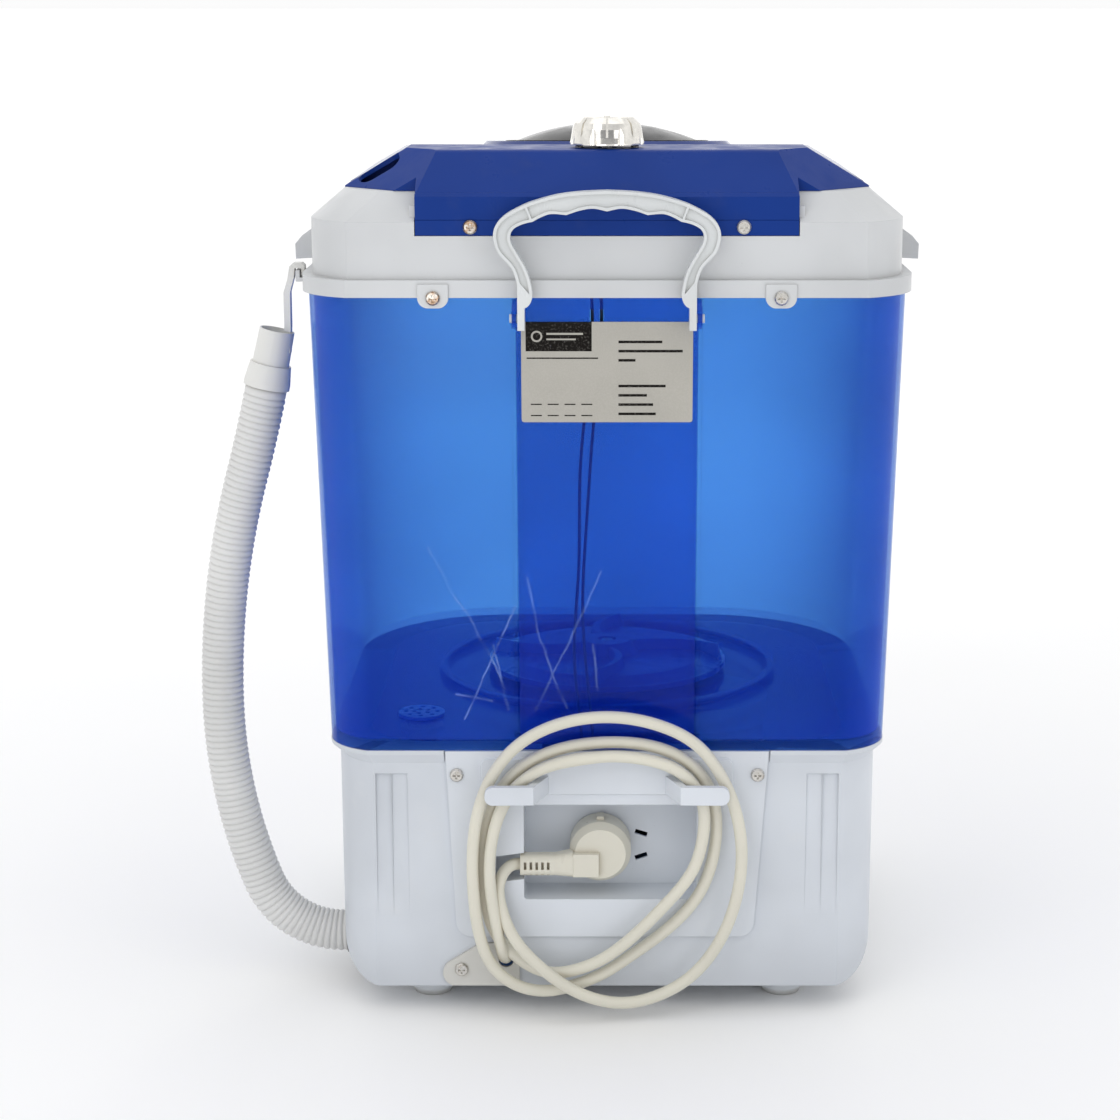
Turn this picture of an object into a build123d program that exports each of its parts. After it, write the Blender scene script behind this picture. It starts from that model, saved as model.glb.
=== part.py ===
from build123d import *
import math
import os

# Portable single-tub mini washing machine, millimetres.
# Frame: +Z up, origin on the floor under the middle of the body. The rear (control,
# handle, cord) side faces +Y and the drain hose is on the +X side.
# HX and HY are half widths along X and half depths along Y; Z0 and Z1 are bottoms and tops.

os.makedirs("parts", exist_ok=True)

# ---- driving dimensions -------------------------------------------------
BASE_Z0, BASE_Z1 = 15.0, 162.0        # base shell bottom and top
BASE_HX0, BASE_HX1 = 158.4, 159.2     # base half width at the bottom and the top
BASE_HY = 163.0
BASE_CORNER = 24.0                    # rounding of the lower side edges
WALL = 3.0                            # base wall
PLATE_Z = BASE_Z0 + WALL              # underside of the base plate
TUB_Z0, TUB_Z1 = 162.0, 432.0         # tub bottom and rim
TUB_HX0, TUB_HY0 = 164.0, 164.5       # at the bottom
TUB_HX1, TUB_HY1 = 171.7, 168.2       # at the rim
TUB_WALL = 2.5
TUB_FLOOR = 168.0                     # inside floor of the wash tub
DUCT_HX, DUCT_Y = 51.5, 151.0         # wiring channel at the back of the tub
RIM_Z0, RIM_Z1 = 427.5, 437.3         # rim band of the top frame
RIM_HX, RIM_HY = 174.5, 174.0
FRAME_HX, FRAME_HY = 169.0, 170.0     # upright wall of the top frame
FRAME_WALL = 3.0
FRAME_Z1, DECK_Z = 469.0, 485.0       # top of the upright wall, top of the shoulder
DECK_HX, DECK_HY = 150.0, 152.0       # shoulder top outline
NOTCH_HX, NOTCH_Z = 107.0, 461.4      # rear notch for the control cover tongue
TONGUE_HX = NOTCH_HX - 0.35
COVER_TOP, COVER_TOP_HX = 507.0, 114.5  # flat top of the control cover
COVER_FRONT = 84.2                    # front edge of the control cover
SLOPE_HX = 150.6                      # foot of the side slopes of cover and lid
LID_BACK, LID_TOP = 81.7, 505.5       # rear edge and rear top height of the lid
LID_TILT = math.radians(2.9)          # the lid top falls towards the front
HINGE_Y, HINGE_Z = 82.5, 504.3        # lid hinge axis
HINGE_PIN_R = 1.3
KNOB_Y = 114.0                        # timer knob axis
TIMER_SHAFT_R = 3.0
HANDLE_Y, HANDLE_Z = 182.0, 417.0     # carry handle pivot axis
PIVOT_R = 2.5
DRAIN_X = 112.0                       # drain hole in the tub floor
HOSE_Y, HOSE_Z = 110.0, 30.0          # drain hose swivel axis
HOSE_R, HOSE_BORE = 12.6, 10.0        # outer and inner radius
CORD_R = 3.5                          # power cord
SHAFT_R = 6.0                         # pulsator shaft
RUN = 0.06                            # radial running clearance
PRESS = 0.02                          # radial clearance of fixed fits
MOTOR_X, MOTOR_Y = -62.0, -62.0       # motor axis
MOTOR_Z0, MOTOR_Z1 = 64.0, 134.0      # motor casing bottom and top
MOTOR_SHAFT_R = 5.0
PULLEY_Z0, PULLEY_Z1 = 34.0, 46.0     # belt plane
BIG_PULLEY_R, SMALL_PULLEY_R = 58.0, 11.6
FRONT_CX = 66.0                       # X of the centres of the front corner rounds

# ---- fixing positions ---------------------------------------------------
PANEL_SCREWS = [(88.0, 147.4), (-88.0, 147.4)]                            # x, z
CLAMP_SCREW = (86.5, 26.4)                                                # x, z
CORD_ENTRY = (60.0, 32.0)                                                 # x, z
PLATE_SCREWS = [(x, y) for x in (-91.0, 91.0) for y in (-92.0, 0.0, 92.0)]
FEET = [(x, y) for x in (-106.0, 106.0) for y in (-130.0, 130.0)]
RIM_SCREWS_X, RIM_SCREWS_Z = (-97.0, 97.0), 427.5
COVER_SCREWS_X, COVER_SCREWS_Z = (-76.0, 76.0), 466.4
TIMER_SCREWS_X = (-16.0, 16.0)
SCREW_HOLE_R = 1.9


def diagonal_points(radius, x=0.0, y=0.0):
    """Four points on the diagonals round (x, y)."""
    angles = [math.radians(45 + 90 * i) for i in range(4)]
    return [(x + radius * math.cos(angle), y + radius * math.sin(angle)) for angle in angles]


BEARING_SCREWS = diagonal_points(36)
MOTOR_MOUNTS = diagonal_points(56, MOTOR_X, MOTOR_Y)

# ---- helpers ------------------------------------------------------------
CUT = Mode.SUBTRACT


def level(z, x=0.0, y=0.0):
    """Horizontal plane facing up."""
    return Plane(origin=(x, y, z), x_dir=(1, 0, 0), z_dir=(0, 0, 1))


def back(y, x=0.0, z=0.0):
    """Upright plane facing +Y; its own x axis runs towards -X."""
    return Plane(origin=(x, y, z), x_dir=(-1, 0, 0), z_dir=(0, 1, 0))


def front(y):
    """Upright plane facing -Y, drawn in (x, z)."""
    return Plane(origin=(0, y, 0), x_dir=(1, 0, 0), z_dir=(0, -1, 0))


def side_on(x, y=0.0, z=0.0):
    """Upright plane facing +X, drawn in (y, z)."""
    return Plane(origin=(x, y, z), x_dir=(0, 1, 0), z_dir=(1, 0, 0))


def outline(half_x, half_y, flat, run):
    """Plan outline with straight sides.

    The back corners are arcs of depth run that meet the flat back (half width flat) at a
    soft crease; the front corners are wide quarter rounds.
    """
    across = half_x - flat
    radius = (across * across + run * run) / (2 * across)
    sweep_angle = math.atan2(run, radius - across)
    mid_x = half_x - radius + radius * math.cos(sweep_angle / 2)
    mid_y = half_y - run + radius * math.sin(sweep_angle / 2)
    front_r = half_x - FRONT_CX
    reach = front_r * math.cos(math.radians(45))
    front_y = front_r - half_y
    Line((-flat, half_y), (flat, half_y))
    ThreePointArc((flat, half_y), (mid_x, mid_y), (half_x, half_y - run))
    Line((half_x, half_y - run), (half_x, front_y))
    ThreePointArc((half_x, front_y), (FRONT_CX + reach, front_y - reach), (FRONT_CX, -half_y))
    Line((FRONT_CX, -half_y), (-FRONT_CX, -half_y))
    ThreePointArc((-FRONT_CX, -half_y), (-FRONT_CX - reach, front_y - reach), (-half_x, front_y))
    Line((-half_x, front_y), (-half_x, half_y - run))
    ThreePointArc((-half_x, half_y - run), (-mid_x, mid_y), (-flat, half_y))


# Each of these extrudes one profile into the part being built and returns the new solid.
def slab(z, plan, amount, mode=Mode.ADD):
    """Upright body with the plan outline given as (half_x, half_y, flat, run)."""
    with BuildSketch(level(z)) as profile:
        with BuildLine():
            outline(*plan)
        make_face()
    return extrude(profile.sketch, amount=amount, mode=mode)


def prism(plane, points, amount, mode=Mode.ADD, both=False):
    with BuildSketch(plane) as profile:
        with BuildLine():
            Polyline(*points, close=True)
        make_face()
    return extrude(profile.sketch, amount=amount, both=both, mode=mode)


def block(plane, width, height, amount, corner=0, taper=0, mode=Mode.ADD):
    with BuildSketch(plane) as profile:
        if corner:
            RectangleRounded(width, height, corner)
        else:
            Rectangle(width, height)
    return extrude(profile.sketch, amount=amount, taper=taper, mode=mode)


def disc(plane, radius, amount, taper=0, mode=Mode.ADD):
    with BuildSketch(plane) as profile:
        Circle(radius)
    return extrude(profile.sketch, amount=amount, taper=taper, mode=mode)


def ring(plane, outer, inner, amount, mode=Mode.ADD):
    with BuildSketch(plane) as profile:
        Circle(outer)
        Circle(inner, mode=CUT)
    return extrude(profile.sketch, amount=amount, mode=mode)


def hole(plane, radius, depth):
    """Round hole running depth to both sides of the plane."""
    with BuildSketch(plane) as profile:
        Circle(radius)
    extrude(profile.sketch, amount=depth, both=True, mode=CUT)


def cable(points, radius):
    """Round cable along a smooth curve."""
    with BuildLine() as path:
        Spline(*points)
    with BuildSketch(Plane(origin=path.line @ 0, z_dir=path.line % 0)) as profile:
        Circle(radius)
    sweep(profile.sketch, path=path.line)


def pan_screw(plane, length, head=4.0, shank=1.7, tall=1.1):
    """Cross-recessed pan head screw: head on the plane's +Z side, shank on the other."""
    disc(plane, head, tall)
    disc(plane.offset(tall), head, 1.0, taper=38)
    disc(plane, shank, -length)
    with BuildSketch(plane.offset(tall + 1.1)) as recess:
        Rectangle(head * 1.05, head * 0.26)
        Rectangle(head * 0.26, head * 1.05)
    extrude(recess.sketch, amount=-1.5, mode=CUT)


def save(builder, name):
    builder.part.label = name
    export_step(builder.part, "parts/" + name + ".step")


# ---- base ---------------------------------------------------------------
BASE_PLAN = (159.4, BASE_HY, 137, 38)
RING_PLAN = (164.4, 165.6, 140, 36)   # flared ring that carries the tub
RING_Z0, RING_Z = 153.5, 159.5        # start and end of the flare
BASE_INNER_HX = 155.4

with BuildPart() as base_hollow:
    slab(PLATE_Z, (156.0, BASE_HY - WALL, 134, 37), 134)
    with BuildSketch(Plane.XZ):
        with Locations((0, PLATE_Z + 120)):
            RectangleRounded(2 * BASE_INNER_HX, 240, BASE_CORNER - WALL)
    extrude(amount=BASE_HY, both=True, mode=Mode.INTERSECT)

with BuildPart() as base_shell:
    prism(Plane.XZ, [(-BASE_HX0, BASE_Z0), (BASE_HX0, BASE_Z0),
                     (BASE_HX1, BASE_Z1), (-BASE_HX1, BASE_Z1)], BASE_HY, both=True)
    fillet(base_shell.edges().filter_by(Axis.Y).group_by(Axis.Z)[0], BASE_CORNER)
    slab(BASE_Z0, BASE_PLAN, 150, mode=Mode.INTERSECT)
    # flared ring, then its upright edge
    for z, plan in ((RING_Z0, (159.0, 162.8, 137, 38)), (RING_Z, RING_PLAN)):
        with BuildSketch(level(z)):
            with BuildLine():
                outline(*plan)
            make_face()
    loft(ruled=True)
    slab(RING_Z, RING_PLAN, BASE_Z1 - RING_Z)
    add(base_hollow.part, mode=CUT)
    # opening under the tub, and its extension to the wiring channel
    slab(150, (142.0, 146.0, 104, 38), 14, mode=CUT)
    block(level(148, 8, 148), 60, 24.4, 16, mode=CUT)
    # the ring is cut back where the service panel rises to the tub
    prism(back(BASE_HY + 0.02), [(-95.0, 150), (95.0, 150), (95.4, 164), (-95.4, 164)], 8,
          mode=CUT)
    # service opening in the bottom
    block(level(BASE_Z0 - 1), 166, 216, 6, corner=8, mode=CUT)
    # opening behind the rear service panel
    prism(back(BASE_HY - 6), [(-80, 52), (80, 52), (84, 152), (-84, 152)], 12, mode=CUT)
    # tapering relief grooves beside the panel: start x and depth at the top
    groove = 9.2
    for side in (-1, 1):
        for groove_x, depth in ((126.5, 1.9), (117.0, 1.1)):
            prism(side_on(side * (groove_x + groove / 2) - groove / 2),
                  [(BASE_HY + 1, 147.4), (BASE_HY - depth, 147.4),
                   (BASE_HY - 0.02, 60), (BASE_HY + 1, 60)], groove, mode=CUT)
    # drain outlet, panel screws, feet, plate screws, clamp screw and cord entry
    hole(side_on(151, HOSE_Y, HOSE_Z), 13.7, 13)
    for x, z in PANEL_SCREWS:
        hole(back(BASE_HY, x, z), SCREW_HOLE_R, 6)
    for x, y in FEET:
        hole(level(BASE_Z0, x, y), 4.2, 6)
    for x, y in PLATE_SCREWS:
        hole(level(BASE_Z0, x, y), SCREW_HOLE_R, 6)
    hole(back(BASE_HY, *CLAMP_SCREW), SCREW_HOLE_R, 6)
    hole(back(BASE_HY, *CORD_ENTRY), 5.6, 6)
save(base_shell, "base_shell")

with BuildPart() as base_plate:
    block(level(PLATE_Z), 196, 240, 2.4, corner=8)
    # vent slots
    with BuildSketch(level(PLATE_Z)):
        with GridLocations(22, 60, 6, 2):
            SlotOverall(44, 5, rotation=90)
    extrude(amount=3, mode=CUT)
    for x, y in PLATE_SCREWS:
        hole(level(PLATE_Z, x, y), SCREW_HOLE_R, 5)
    # round boss in the middle
    disc(level(PLATE_Z), 9.01, 4.5)
save(base_plate, "base_plate")

FOOT_R = 13.2
with BuildPart() as feet:
    for x, y in FEET:
        # pad, tapering up and down from its widest level
        disc(level(4.0, x, y), FOOT_R, 8.0, taper=12)
        disc(level(4.0, x, y), FOOT_R, -4.0, taper=26)
        # shoulder, stem through the base, and barbed tip
        disc(level(11.9, x, y), 8.0, 3.1)
        disc(level(11.9, x, y), 4.1, 9.4)
        disc(level(18.1, x, y), 5.4, 4.0, taper=18)
save(feet, "feet")

# ---- wash tub -----------------------------------------------------------
FLOOR_RATIO = (TUB_FLOOR - TUB_Z0) / (TUB_Z1 - TUB_Z0)   # floor height within the draft
FLOOR_HX = TUB_HX0 + FLOOR_RATIO * (TUB_HX1 - TUB_HX0)
FLOOR_HY = TUB_HY0 + FLOOR_RATIO * (TUB_HY1 - TUB_HY0)

with BuildPart() as tub:
    for z, plan in ((TUB_Z0, (TUB_HX0, TUB_HY0, 139, 34)),
                    (TUB_Z1, (TUB_HX1, TUB_HY1, 145, 44))):
        with BuildSketch(level(z)):
            with BuildLine():
                outline(*plan)
            make_face()
    loft(ruled=True)
    # wash space, notched where the wiring channel runs up the back
    for z, plan in ((TUB_FLOOR, (FLOOR_HX - TUB_WALL, FLOOR_HY - TUB_WALL, 137, 33)),
                    (TUB_Z1 + 0.01, (TUB_HX1 - TUB_WALL, TUB_HY1 - TUB_WALL, 143, 43))):
        with BuildSketch(level(z)):
            with BuildLine():
                outline(*plan)
            make_face()
            with Locations((0, DUCT_Y - TUB_WALL + 30)):
                Rectangle(2 * (DUCT_HX + TUB_WALL), 60, mode=CUT)
    loft(ruled=True, mode=CUT)
    # wiring channel outside the wash space
    block(level(TUB_Z0 - 1, 0, DUCT_Y + 20), 2 * DUCT_HX, 40, TUB_Z1 - TUB_Z0 + 2, mode=CUT)
    # raised ring round the pulsator, and a disc on the floor round the shaft
    ring(level(TUB_FLOOR - 0.5), 108, 103, 5.0)
    disc(level(TUB_FLOOR - 0.5), 26, 3.0)
    # shaft hole and drain hole
    with BuildSketch(level(TUB_Z0 - 1)):
        Circle(14.0)
        with Locations((DRAIN_X, HOSE_Y)):
            Circle(9.0)
    extrude(amount=14, mode=CUT)
    # screw holes at the rim and for the bearing housing
    for x in RIM_SCREWS_X:
        hole(back(TUB_HY1 - 2, x, RIM_SCREWS_Z), 2.0, 8)
    for x, y in BEARING_SCREWS:
        hole(level(TUB_Z0, x, y), SCREW_HOLE_R, 4)
save(tub, "tub")

with BuildPart() as drain_strainer:
    disc(level(TUB_FLOOR + 0.05, DRAIN_X, HOSE_Y), 14, 2.0)
    with BuildSketch(level(TUB_FLOOR)):
        with Locations((DRAIN_X, HOSE_Y)):
            with PolarLocations(9.5, 8):
                Circle(1.6)
            with PolarLocations(4.5, 5):
                Circle(1.6)
    extrude(amount=3, mode=CUT)
save(drain_strainer, "drain_strainer")

DUCT_COVER_Z0, DUCT_COVER_Z1 = TUB_Z0 + 0.6, 427.0
DUCT_COVER_Y0, DUCT_COVER_Y1 = 163.2, 166.9     # mid plane at the bottom and the top
EAR_X, EAR_THICK = 51.5, 2.5
with BuildPart() as rear_duct_cover:
    # tapered panel that closes the channel
    for z, half_x, y in ((DUCT_COVER_Z0, 50.6, DUCT_COVER_Y0),
                         (DUCT_COVER_Z1, 51.2, DUCT_COVER_Y1)):
        with BuildSketch(level(z, 0, y)):
            Rectangle(2 * half_x, 2.4)
    loft(ruled=True)
    # side flanges reaching forward into the channel
    for side in (-1, 1):
        for z, x, y in ((DUCT_COVER_Z0, 48.6, 158.5), (DUCT_COVER_Z1, 49.2, 162.0)):
            with BuildSketch(level(z, side * x, y)):
                Rectangle(2.0, 9.4)
        loft(ruled=True)
    # ears that carry the handle pivots, each with a filler block at its root
    for side in (-1, 1):
        prism(side_on(side * EAR_X - EAR_THICK / 2),
              [(168.8, 410.0), (168.8, 426.4), (172.5, 426.4), (HANDLE_Y + 3.0, 421.6),
               (HANDLE_Y + 4.8, HANDLE_Z), (HANDLE_Y + 3.0, 412.6), (173.0, 410.0)], EAR_THICK)
        prism(side_on(side * 50.05 - 1.15),
              [(166.8, 410.4), (166.8, 426.2), (171.5, 426.2), (171.5, 410.4)], 2.3)
        hole(side_on(side * EAR_X, HANDLE_Y, HANDLE_Z), PIVOT_R + RUN, 4)
    # two small slots high on the panel
    with BuildSketch(back(150)):
        with Locations((-3.0, 417.0), (-8.6, 417.0)):
            Rectangle(2.4, 7)
    extrude(amount=30, mode=CUT)
save(rear_duct_cover, "rear_duct_cover")

# x, y, z along each wire, from the base up the channel into the top
WIRES = [
    [(4.0, 128.0, 136), (7.0, 149.5, 147), (8.5, 157.4, 170), (14.0, 157.0, 240),
     (11.5, 158.0, 300), (8.0, 158.5, 350), (3.5, 159.0, 430), (9, 150.0, 462)],
    [(12.0, 127.0, 135), (13.8, 149.0, 146), (15.0, 157.0, 170), (19.0, 156.6, 215),
     (16.4, 157.5, 268), (15.2, 158.5, 330), (9.0, 159.0, 430), (16, 150.0, 462)],
]
with BuildPart() as duct_wires:
    for wire in WIRES:
        cable(wire, 0.9)
save(duct_wires, "duct_wires")

with BuildPart() as rating_label:
    # lies on the leaning face of the duct cover
    lean = math.atan2(DUCT_COVER_Y1 - DUCT_COVER_Y0, DUCT_COVER_Z1 - DUCT_COVER_Z0)
    block(Plane(origin=(0, 167.72, 385.0), x_dir=(-1, 0, 0),
                z_dir=(0, math.cos(lean), -math.sin(lean))), 96.5, 57.0, 0.7, corner=1.6)
save(rating_label, "rating_label")

# ---- top frame ----------------------------------------------------------
FRAME_PLAN = (FRAME_HX, FRAME_HY, 145, 45)
FRAME_INNER = (FRAME_HX - FRAME_WALL, FRAME_HY - FRAME_WALL, 142.5, 43)
INLET_X = 118.0
GRIP_HY = 58
# x, z of the side grip section, outside and inside
GRIP = [(168, 438.6), (187, 437.6), (187.2, 446.6), (183, 451.5), (174, 457.6), (168, 459)]
GRIP_HOLLOW = [(170.5, 436), (184.6, 436), (184.6, 445.6), (181.5, 449.4), (173.5, 454.6),
               (170.5, 455)]

with BuildPart() as top_frame:
    slab(RIM_Z0, (RIM_HX, RIM_HY, 146, 46), RIM_Z1 - RIM_Z0)
    slab(RIM_Z1, FRAME_PLAN, FRAME_Z1 - RIM_Z1)
    for z, plan in ((FRAME_Z1, FRAME_PLAN), (DECK_Z, (DECK_HX, DECK_HY, 127, 40))):
        with BuildSketch(level(z)):
            with BuildLine():
                outline(*plan)
            make_face()
    loft(ruled=True)
    # side grips
    for side in (-1, 1):
        prism(front(GRIP_HY), [(side * x, z) for x, z in GRIP], 2 * GRIP_HY)
    # hose hanger: a short ledge with an upturned lip
    prism(front(HOSE_Y - 7),
          [(172, 428.4), (176.2, 430.3), (180.2, 430.3), (180.2, 436.8), (177.8, 436.8),
           (177.8, 432.6), (172, 432.6)], -14)
    # tub pocket, then the hollow above it
    slab(RIM_Z0 - 1, (TUB_HX1 + 0.35, TUB_HY1 + 0.35, 145.2, 44), TUB_Z1 + 0.05 - RIM_Z0 + 1,
         mode=CUT)
    slab(TUB_Z1 - 1, FRAME_INNER, FRAME_Z1 - 1 - TUB_Z1, mode=CUT)
    for z, plan in ((FRAME_Z1 - 2.5, FRAME_INNER),
                    (DECK_Z - 3, (DECK_HX - 4, DECK_HY - 4, 124, 38))):
        with BuildSketch(level(z)):
            with BuildLine():
                outline(*plan)
            make_face()
    loft(ruled=True, mode=CUT)
    # loading opening, space under the control cover and water inlet clearance
    with BuildSketch(level(DECK_Z - 6)):
        with Locations((0, -32)):
            RectangleRounded(252, 204, 46)
        with Locations((0, 116)):
            RectangleRounded(210, 64, 10)
        with Locations((118.5, 113.5)):
            RectangleRounded(28, 34, 7)
    extrude(amount=12, mode=CUT)
    # grips are open from below
    for side in (-1, 1):
        prism(front(GRIP_HY - 4), [(side * x, z) for x, z in GRIP_HOLLOW],
              2 * (GRIP_HY - 4), mode=CUT)
    # rear notch for the cover tongue, with a backing wall in front of the tongue
    block(back(FRAME_HY - FRAME_WALL - 0.01, 0, NOTCH_Z + 20), 2 * NOTCH_HX, 40, 5, mode=CUT)
    block(level(NOTCH_Z, 0, 163), 2 * NOTCH_HX, 30, 40, mode=CUT)
    block(back(163.6, 0, 466), 2 * NOTCH_HX + 6, 24, 3.3)
    # screw tabs below the rim
    for x in RIM_SCREWS_X:
        with BuildSketch(back(TUB_HY1 + 0.45, x, 430.2)) as tab:
            with BuildLine():
                Polyline((-8.6, 5), (-8.6, -3.0))
                ThreePointArc((-8.6, -3.0), (-6.6, -7.0), (-2.6, -8.4))
                Line((-2.6, -8.4), (2.6, -8.4))
                ThreePointArc((2.6, -8.4), (6.6, -7.0), (8.6, -3.0))
                Polyline((8.6, -3.0), (8.6, 5), (-8.6, 5))
            make_face()
        extrude(tab.sketch, amount=6.6)
        hole(back(172, x, RIM_SCREWS_Z), 2.0, 8)
    for x in COVER_SCREWS_X:
        hole(back(165, x, COVER_SCREWS_Z), 2.0, 6)
save(top_frame, "top_frame")

# ---- control cover ------------------------------------------------------
FACET_NORMAL = (0.4540, 0.4199, 0.7855)    # rear corner facet on the +X side


def cover_body(inset, tongue_z):
    """Wedge-sided cover body down to tongue_z, shrunk by inset for the inner core."""
    top = COVER_TOP - inset
    back_y = FRAME_HY - inset
    tongue_x = TONGUE_HX - inset
    foot_x, top_x = SLOPE_HX - inset * 1.8, COVER_TOP_HX - inset * 0.6
    foot_z = DECK_Z + 0.05
    body = prism(Plane.YZ, [(COVER_FRONT + inset, 440), (back_y, 440),
                            (back_y, 483.0 - inset * 0.6), (137 - inset * 0.4, top),
                            (COVER_FRONT + inset, top)], 160, mode=Mode.PRIVATE, both=True)
    across = prism(Plane.XZ, [(-foot_x, foot_z), (-foot_x, DECK_Z + 0.4), (-top_x, top),
                              (top_x, top), (foot_x, DECK_Z + 0.4), (foot_x, foot_z),
                              (tongue_x, foot_z), (tongue_x, tongue_z),
                              (-tongue_x, tongue_z), (-tongue_x, foot_z)],
                   200, mode=Mode.PRIVATE, both=True)
    with BuildSketch(level(430)) as plan:
        with BuildLine():
            outline(DECK_HX + 0.6 - inset, DECK_HY + 0.6 - inset, 127 - inset, 40)
        make_face()
        with Locations((0, 130)):
            Rectangle(2 * tongue_x, 120)
    body = body & across & extrude(plan.sketch, amount=100, mode=Mode.PRIVATE)
    # rear corners fall away as flat facets between the back and side slopes
    for side in (-1, 1):
        normal_x, normal_y, normal_z = FACET_NORMAL
        normal_x *= side
        at = (side * 96 - normal_x * inset, 137 - normal_y * inset,
              COVER_TOP - normal_z * inset)
        body = body - Plane(origin=at, z_dir=(normal_x, normal_y, normal_z)) * Box(
            260, 260, 60, align=(Align.CENTER, Align.CENTER, Align.MIN), mode=Mode.PRIVATE)
    return body


KNUCKLE_X, KNUCKLE_R, KNUCKLE_LONG = 96, 2.5, 12     # cover hinge knuckles

with BuildPart() as control_cover:
    add(cover_body(0, NOTCH_Z + 0.3))
    top_edges = control_cover.edges().filter_by(Axis.X).group_by(Axis.Z)[-1]
    fillet(top_edges.sort_by(Axis.Y)[-1:], 9)
    # hollow underside
    add(cover_body(2.6, 400), mode=CUT)
    # the tongue is a single wall behind the frame's backing wall
    block(level(440, 0, 120), 400, 94.2, DECK_Z + 0.05 - 440, mode=CUT)
    # hinge knuckles
    for side in (-1, 1):
        with BuildSketch(side_on(side * KNUCKLE_X - KNUCKLE_LONG / 2)):
            with Locations((HINGE_Y, HINGE_Z)):
                Circle(KNUCKLE_R)
            with BuildLine():
                Polyline((HINGE_Y, HINGE_Z - KNUCKLE_R), (COVER_FRONT + 1.5, HINGE_Z - KNUCKLE_R),
                         (COVER_FRONT + 1.5, HINGE_Z + KNUCKLE_R), (HINGE_Y, HINGE_Z + KNUCKLE_R),
                         close=True)
            make_face()
        extrude(amount=KNUCKLE_LONG)
        hole(side_on(side * KNUCKLE_X, HINGE_Y, HINGE_Z), HINGE_PIN_R + RUN, 7)
    # knob shaft, timer screw and rear screw holes
    hole(level(COVER_TOP, 0, KNOB_Y), 6.0, 6)
    for x in TIMER_SCREWS_X:
        hole(level(COVER_TOP, x, KNOB_Y), 1.7, 6)
    for x in COVER_SCREWS_X:
        hole(back(FRAME_HY, x, COVER_SCREWS_Z), 2.0, 5)
    # shallow V groove across the tongue
    prism(side_on(-NOTCH_HX), [(FRAME_HY + 0.4, 470.6), (FRAME_HY - 0.35, 470.2),
                               (FRAME_HY + 0.4, 469.8)], 2 * NOTCH_HX, mode=CUT)
    # water inlet opening in the +X side slope
    slope = math.atan2(COVER_TOP - DECK_Z - 0.4, SLOPE_HX - COVER_TOP_HX)
    with BuildSketch(Plane(origin=(131.0, 112.0, 497.1),
                           x_dir=(math.cos(slope), 0, -math.sin(slope)),
                           z_dir=(math.sin(slope), 0, math.cos(slope)))):
        RectangleRounded(27, 34, 8)
    extrude(amount=8, both=True, mode=CUT)
save(control_cover, "control_cover")

with BuildPart() as water_inlet:
    # tray below the side opening
    block(level(474, INLET_X, 113), 25, 30, 14, corner=6)
    block(level(476, INLET_X, 113), 21, 26, 14, corner=5, mode=CUT)
    # cross rib with a side block
    with BuildSketch(level(475)):
        with Locations((119, 113)):
            Rectangle(2.2, 28)
        with Locations((124, 120)):
            Rectangle(9, 7)
    extrude(amount=12.5)
    # spout into the tub
    disc(level(455, INLET_X, 113), 9, 20)
    disc(level(454, INLET_X, 113), 7, 24, mode=CUT)
save(water_inlet, "water_inlet")

with BuildPart() as timer_body:
    block(level(468, 0, KNOB_Y), 44, 44, 32, corner=4)
    # shaft collar and screw posts
    with BuildSketch(level(500)):
        with Locations((0, KNOB_Y)):
            Circle(11)
            with Locations(*[(x, 0) for x in TIMER_SCREWS_X]):
                Circle(4)
    extrude(amount=4.3)
    disc(level(478, 0, KNOB_Y), TIMER_SHAFT_R + RUN, 30, mode=CUT)
    with BuildSketch(level(492)):
        with Locations(*[(x, KNOB_Y) for x in TIMER_SCREWS_X]):
            Circle(1.6)
    extrude(amount=20, mode=CUT)
    # spade terminals
    with BuildSketch(level(459)):
        with Locations(*[(x, KNOB_Y) for x in (-12, -4, 4, 12)]):
            Rectangle(0.9, 6)
    extrude(amount=9.2)
save(timer_body, "timer_body")

with BuildPart() as timer_screws:
    for x in TIMER_SCREWS_X:
        pan_screw(level(COVER_TOP + 0.02, x, KNOB_Y), 13, head=2.6, shank=1.45, tall=0.4)
save(timer_screws, "timer_screws")

# ---- rear service panel, cord hooks, clamp ------------------------------
PANEL_Y = BASE_HY + 0.1               # inner face of the panel
HOOK_TIP_X = 70.6
PLUG_X, PLUG_Z, PLUG_Y0 = 4.0, 97.4, 140.2    # plug axis and its face
PIN_DZ = (-9.5, 9.5)                  # pin offsets from the plug axis

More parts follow.
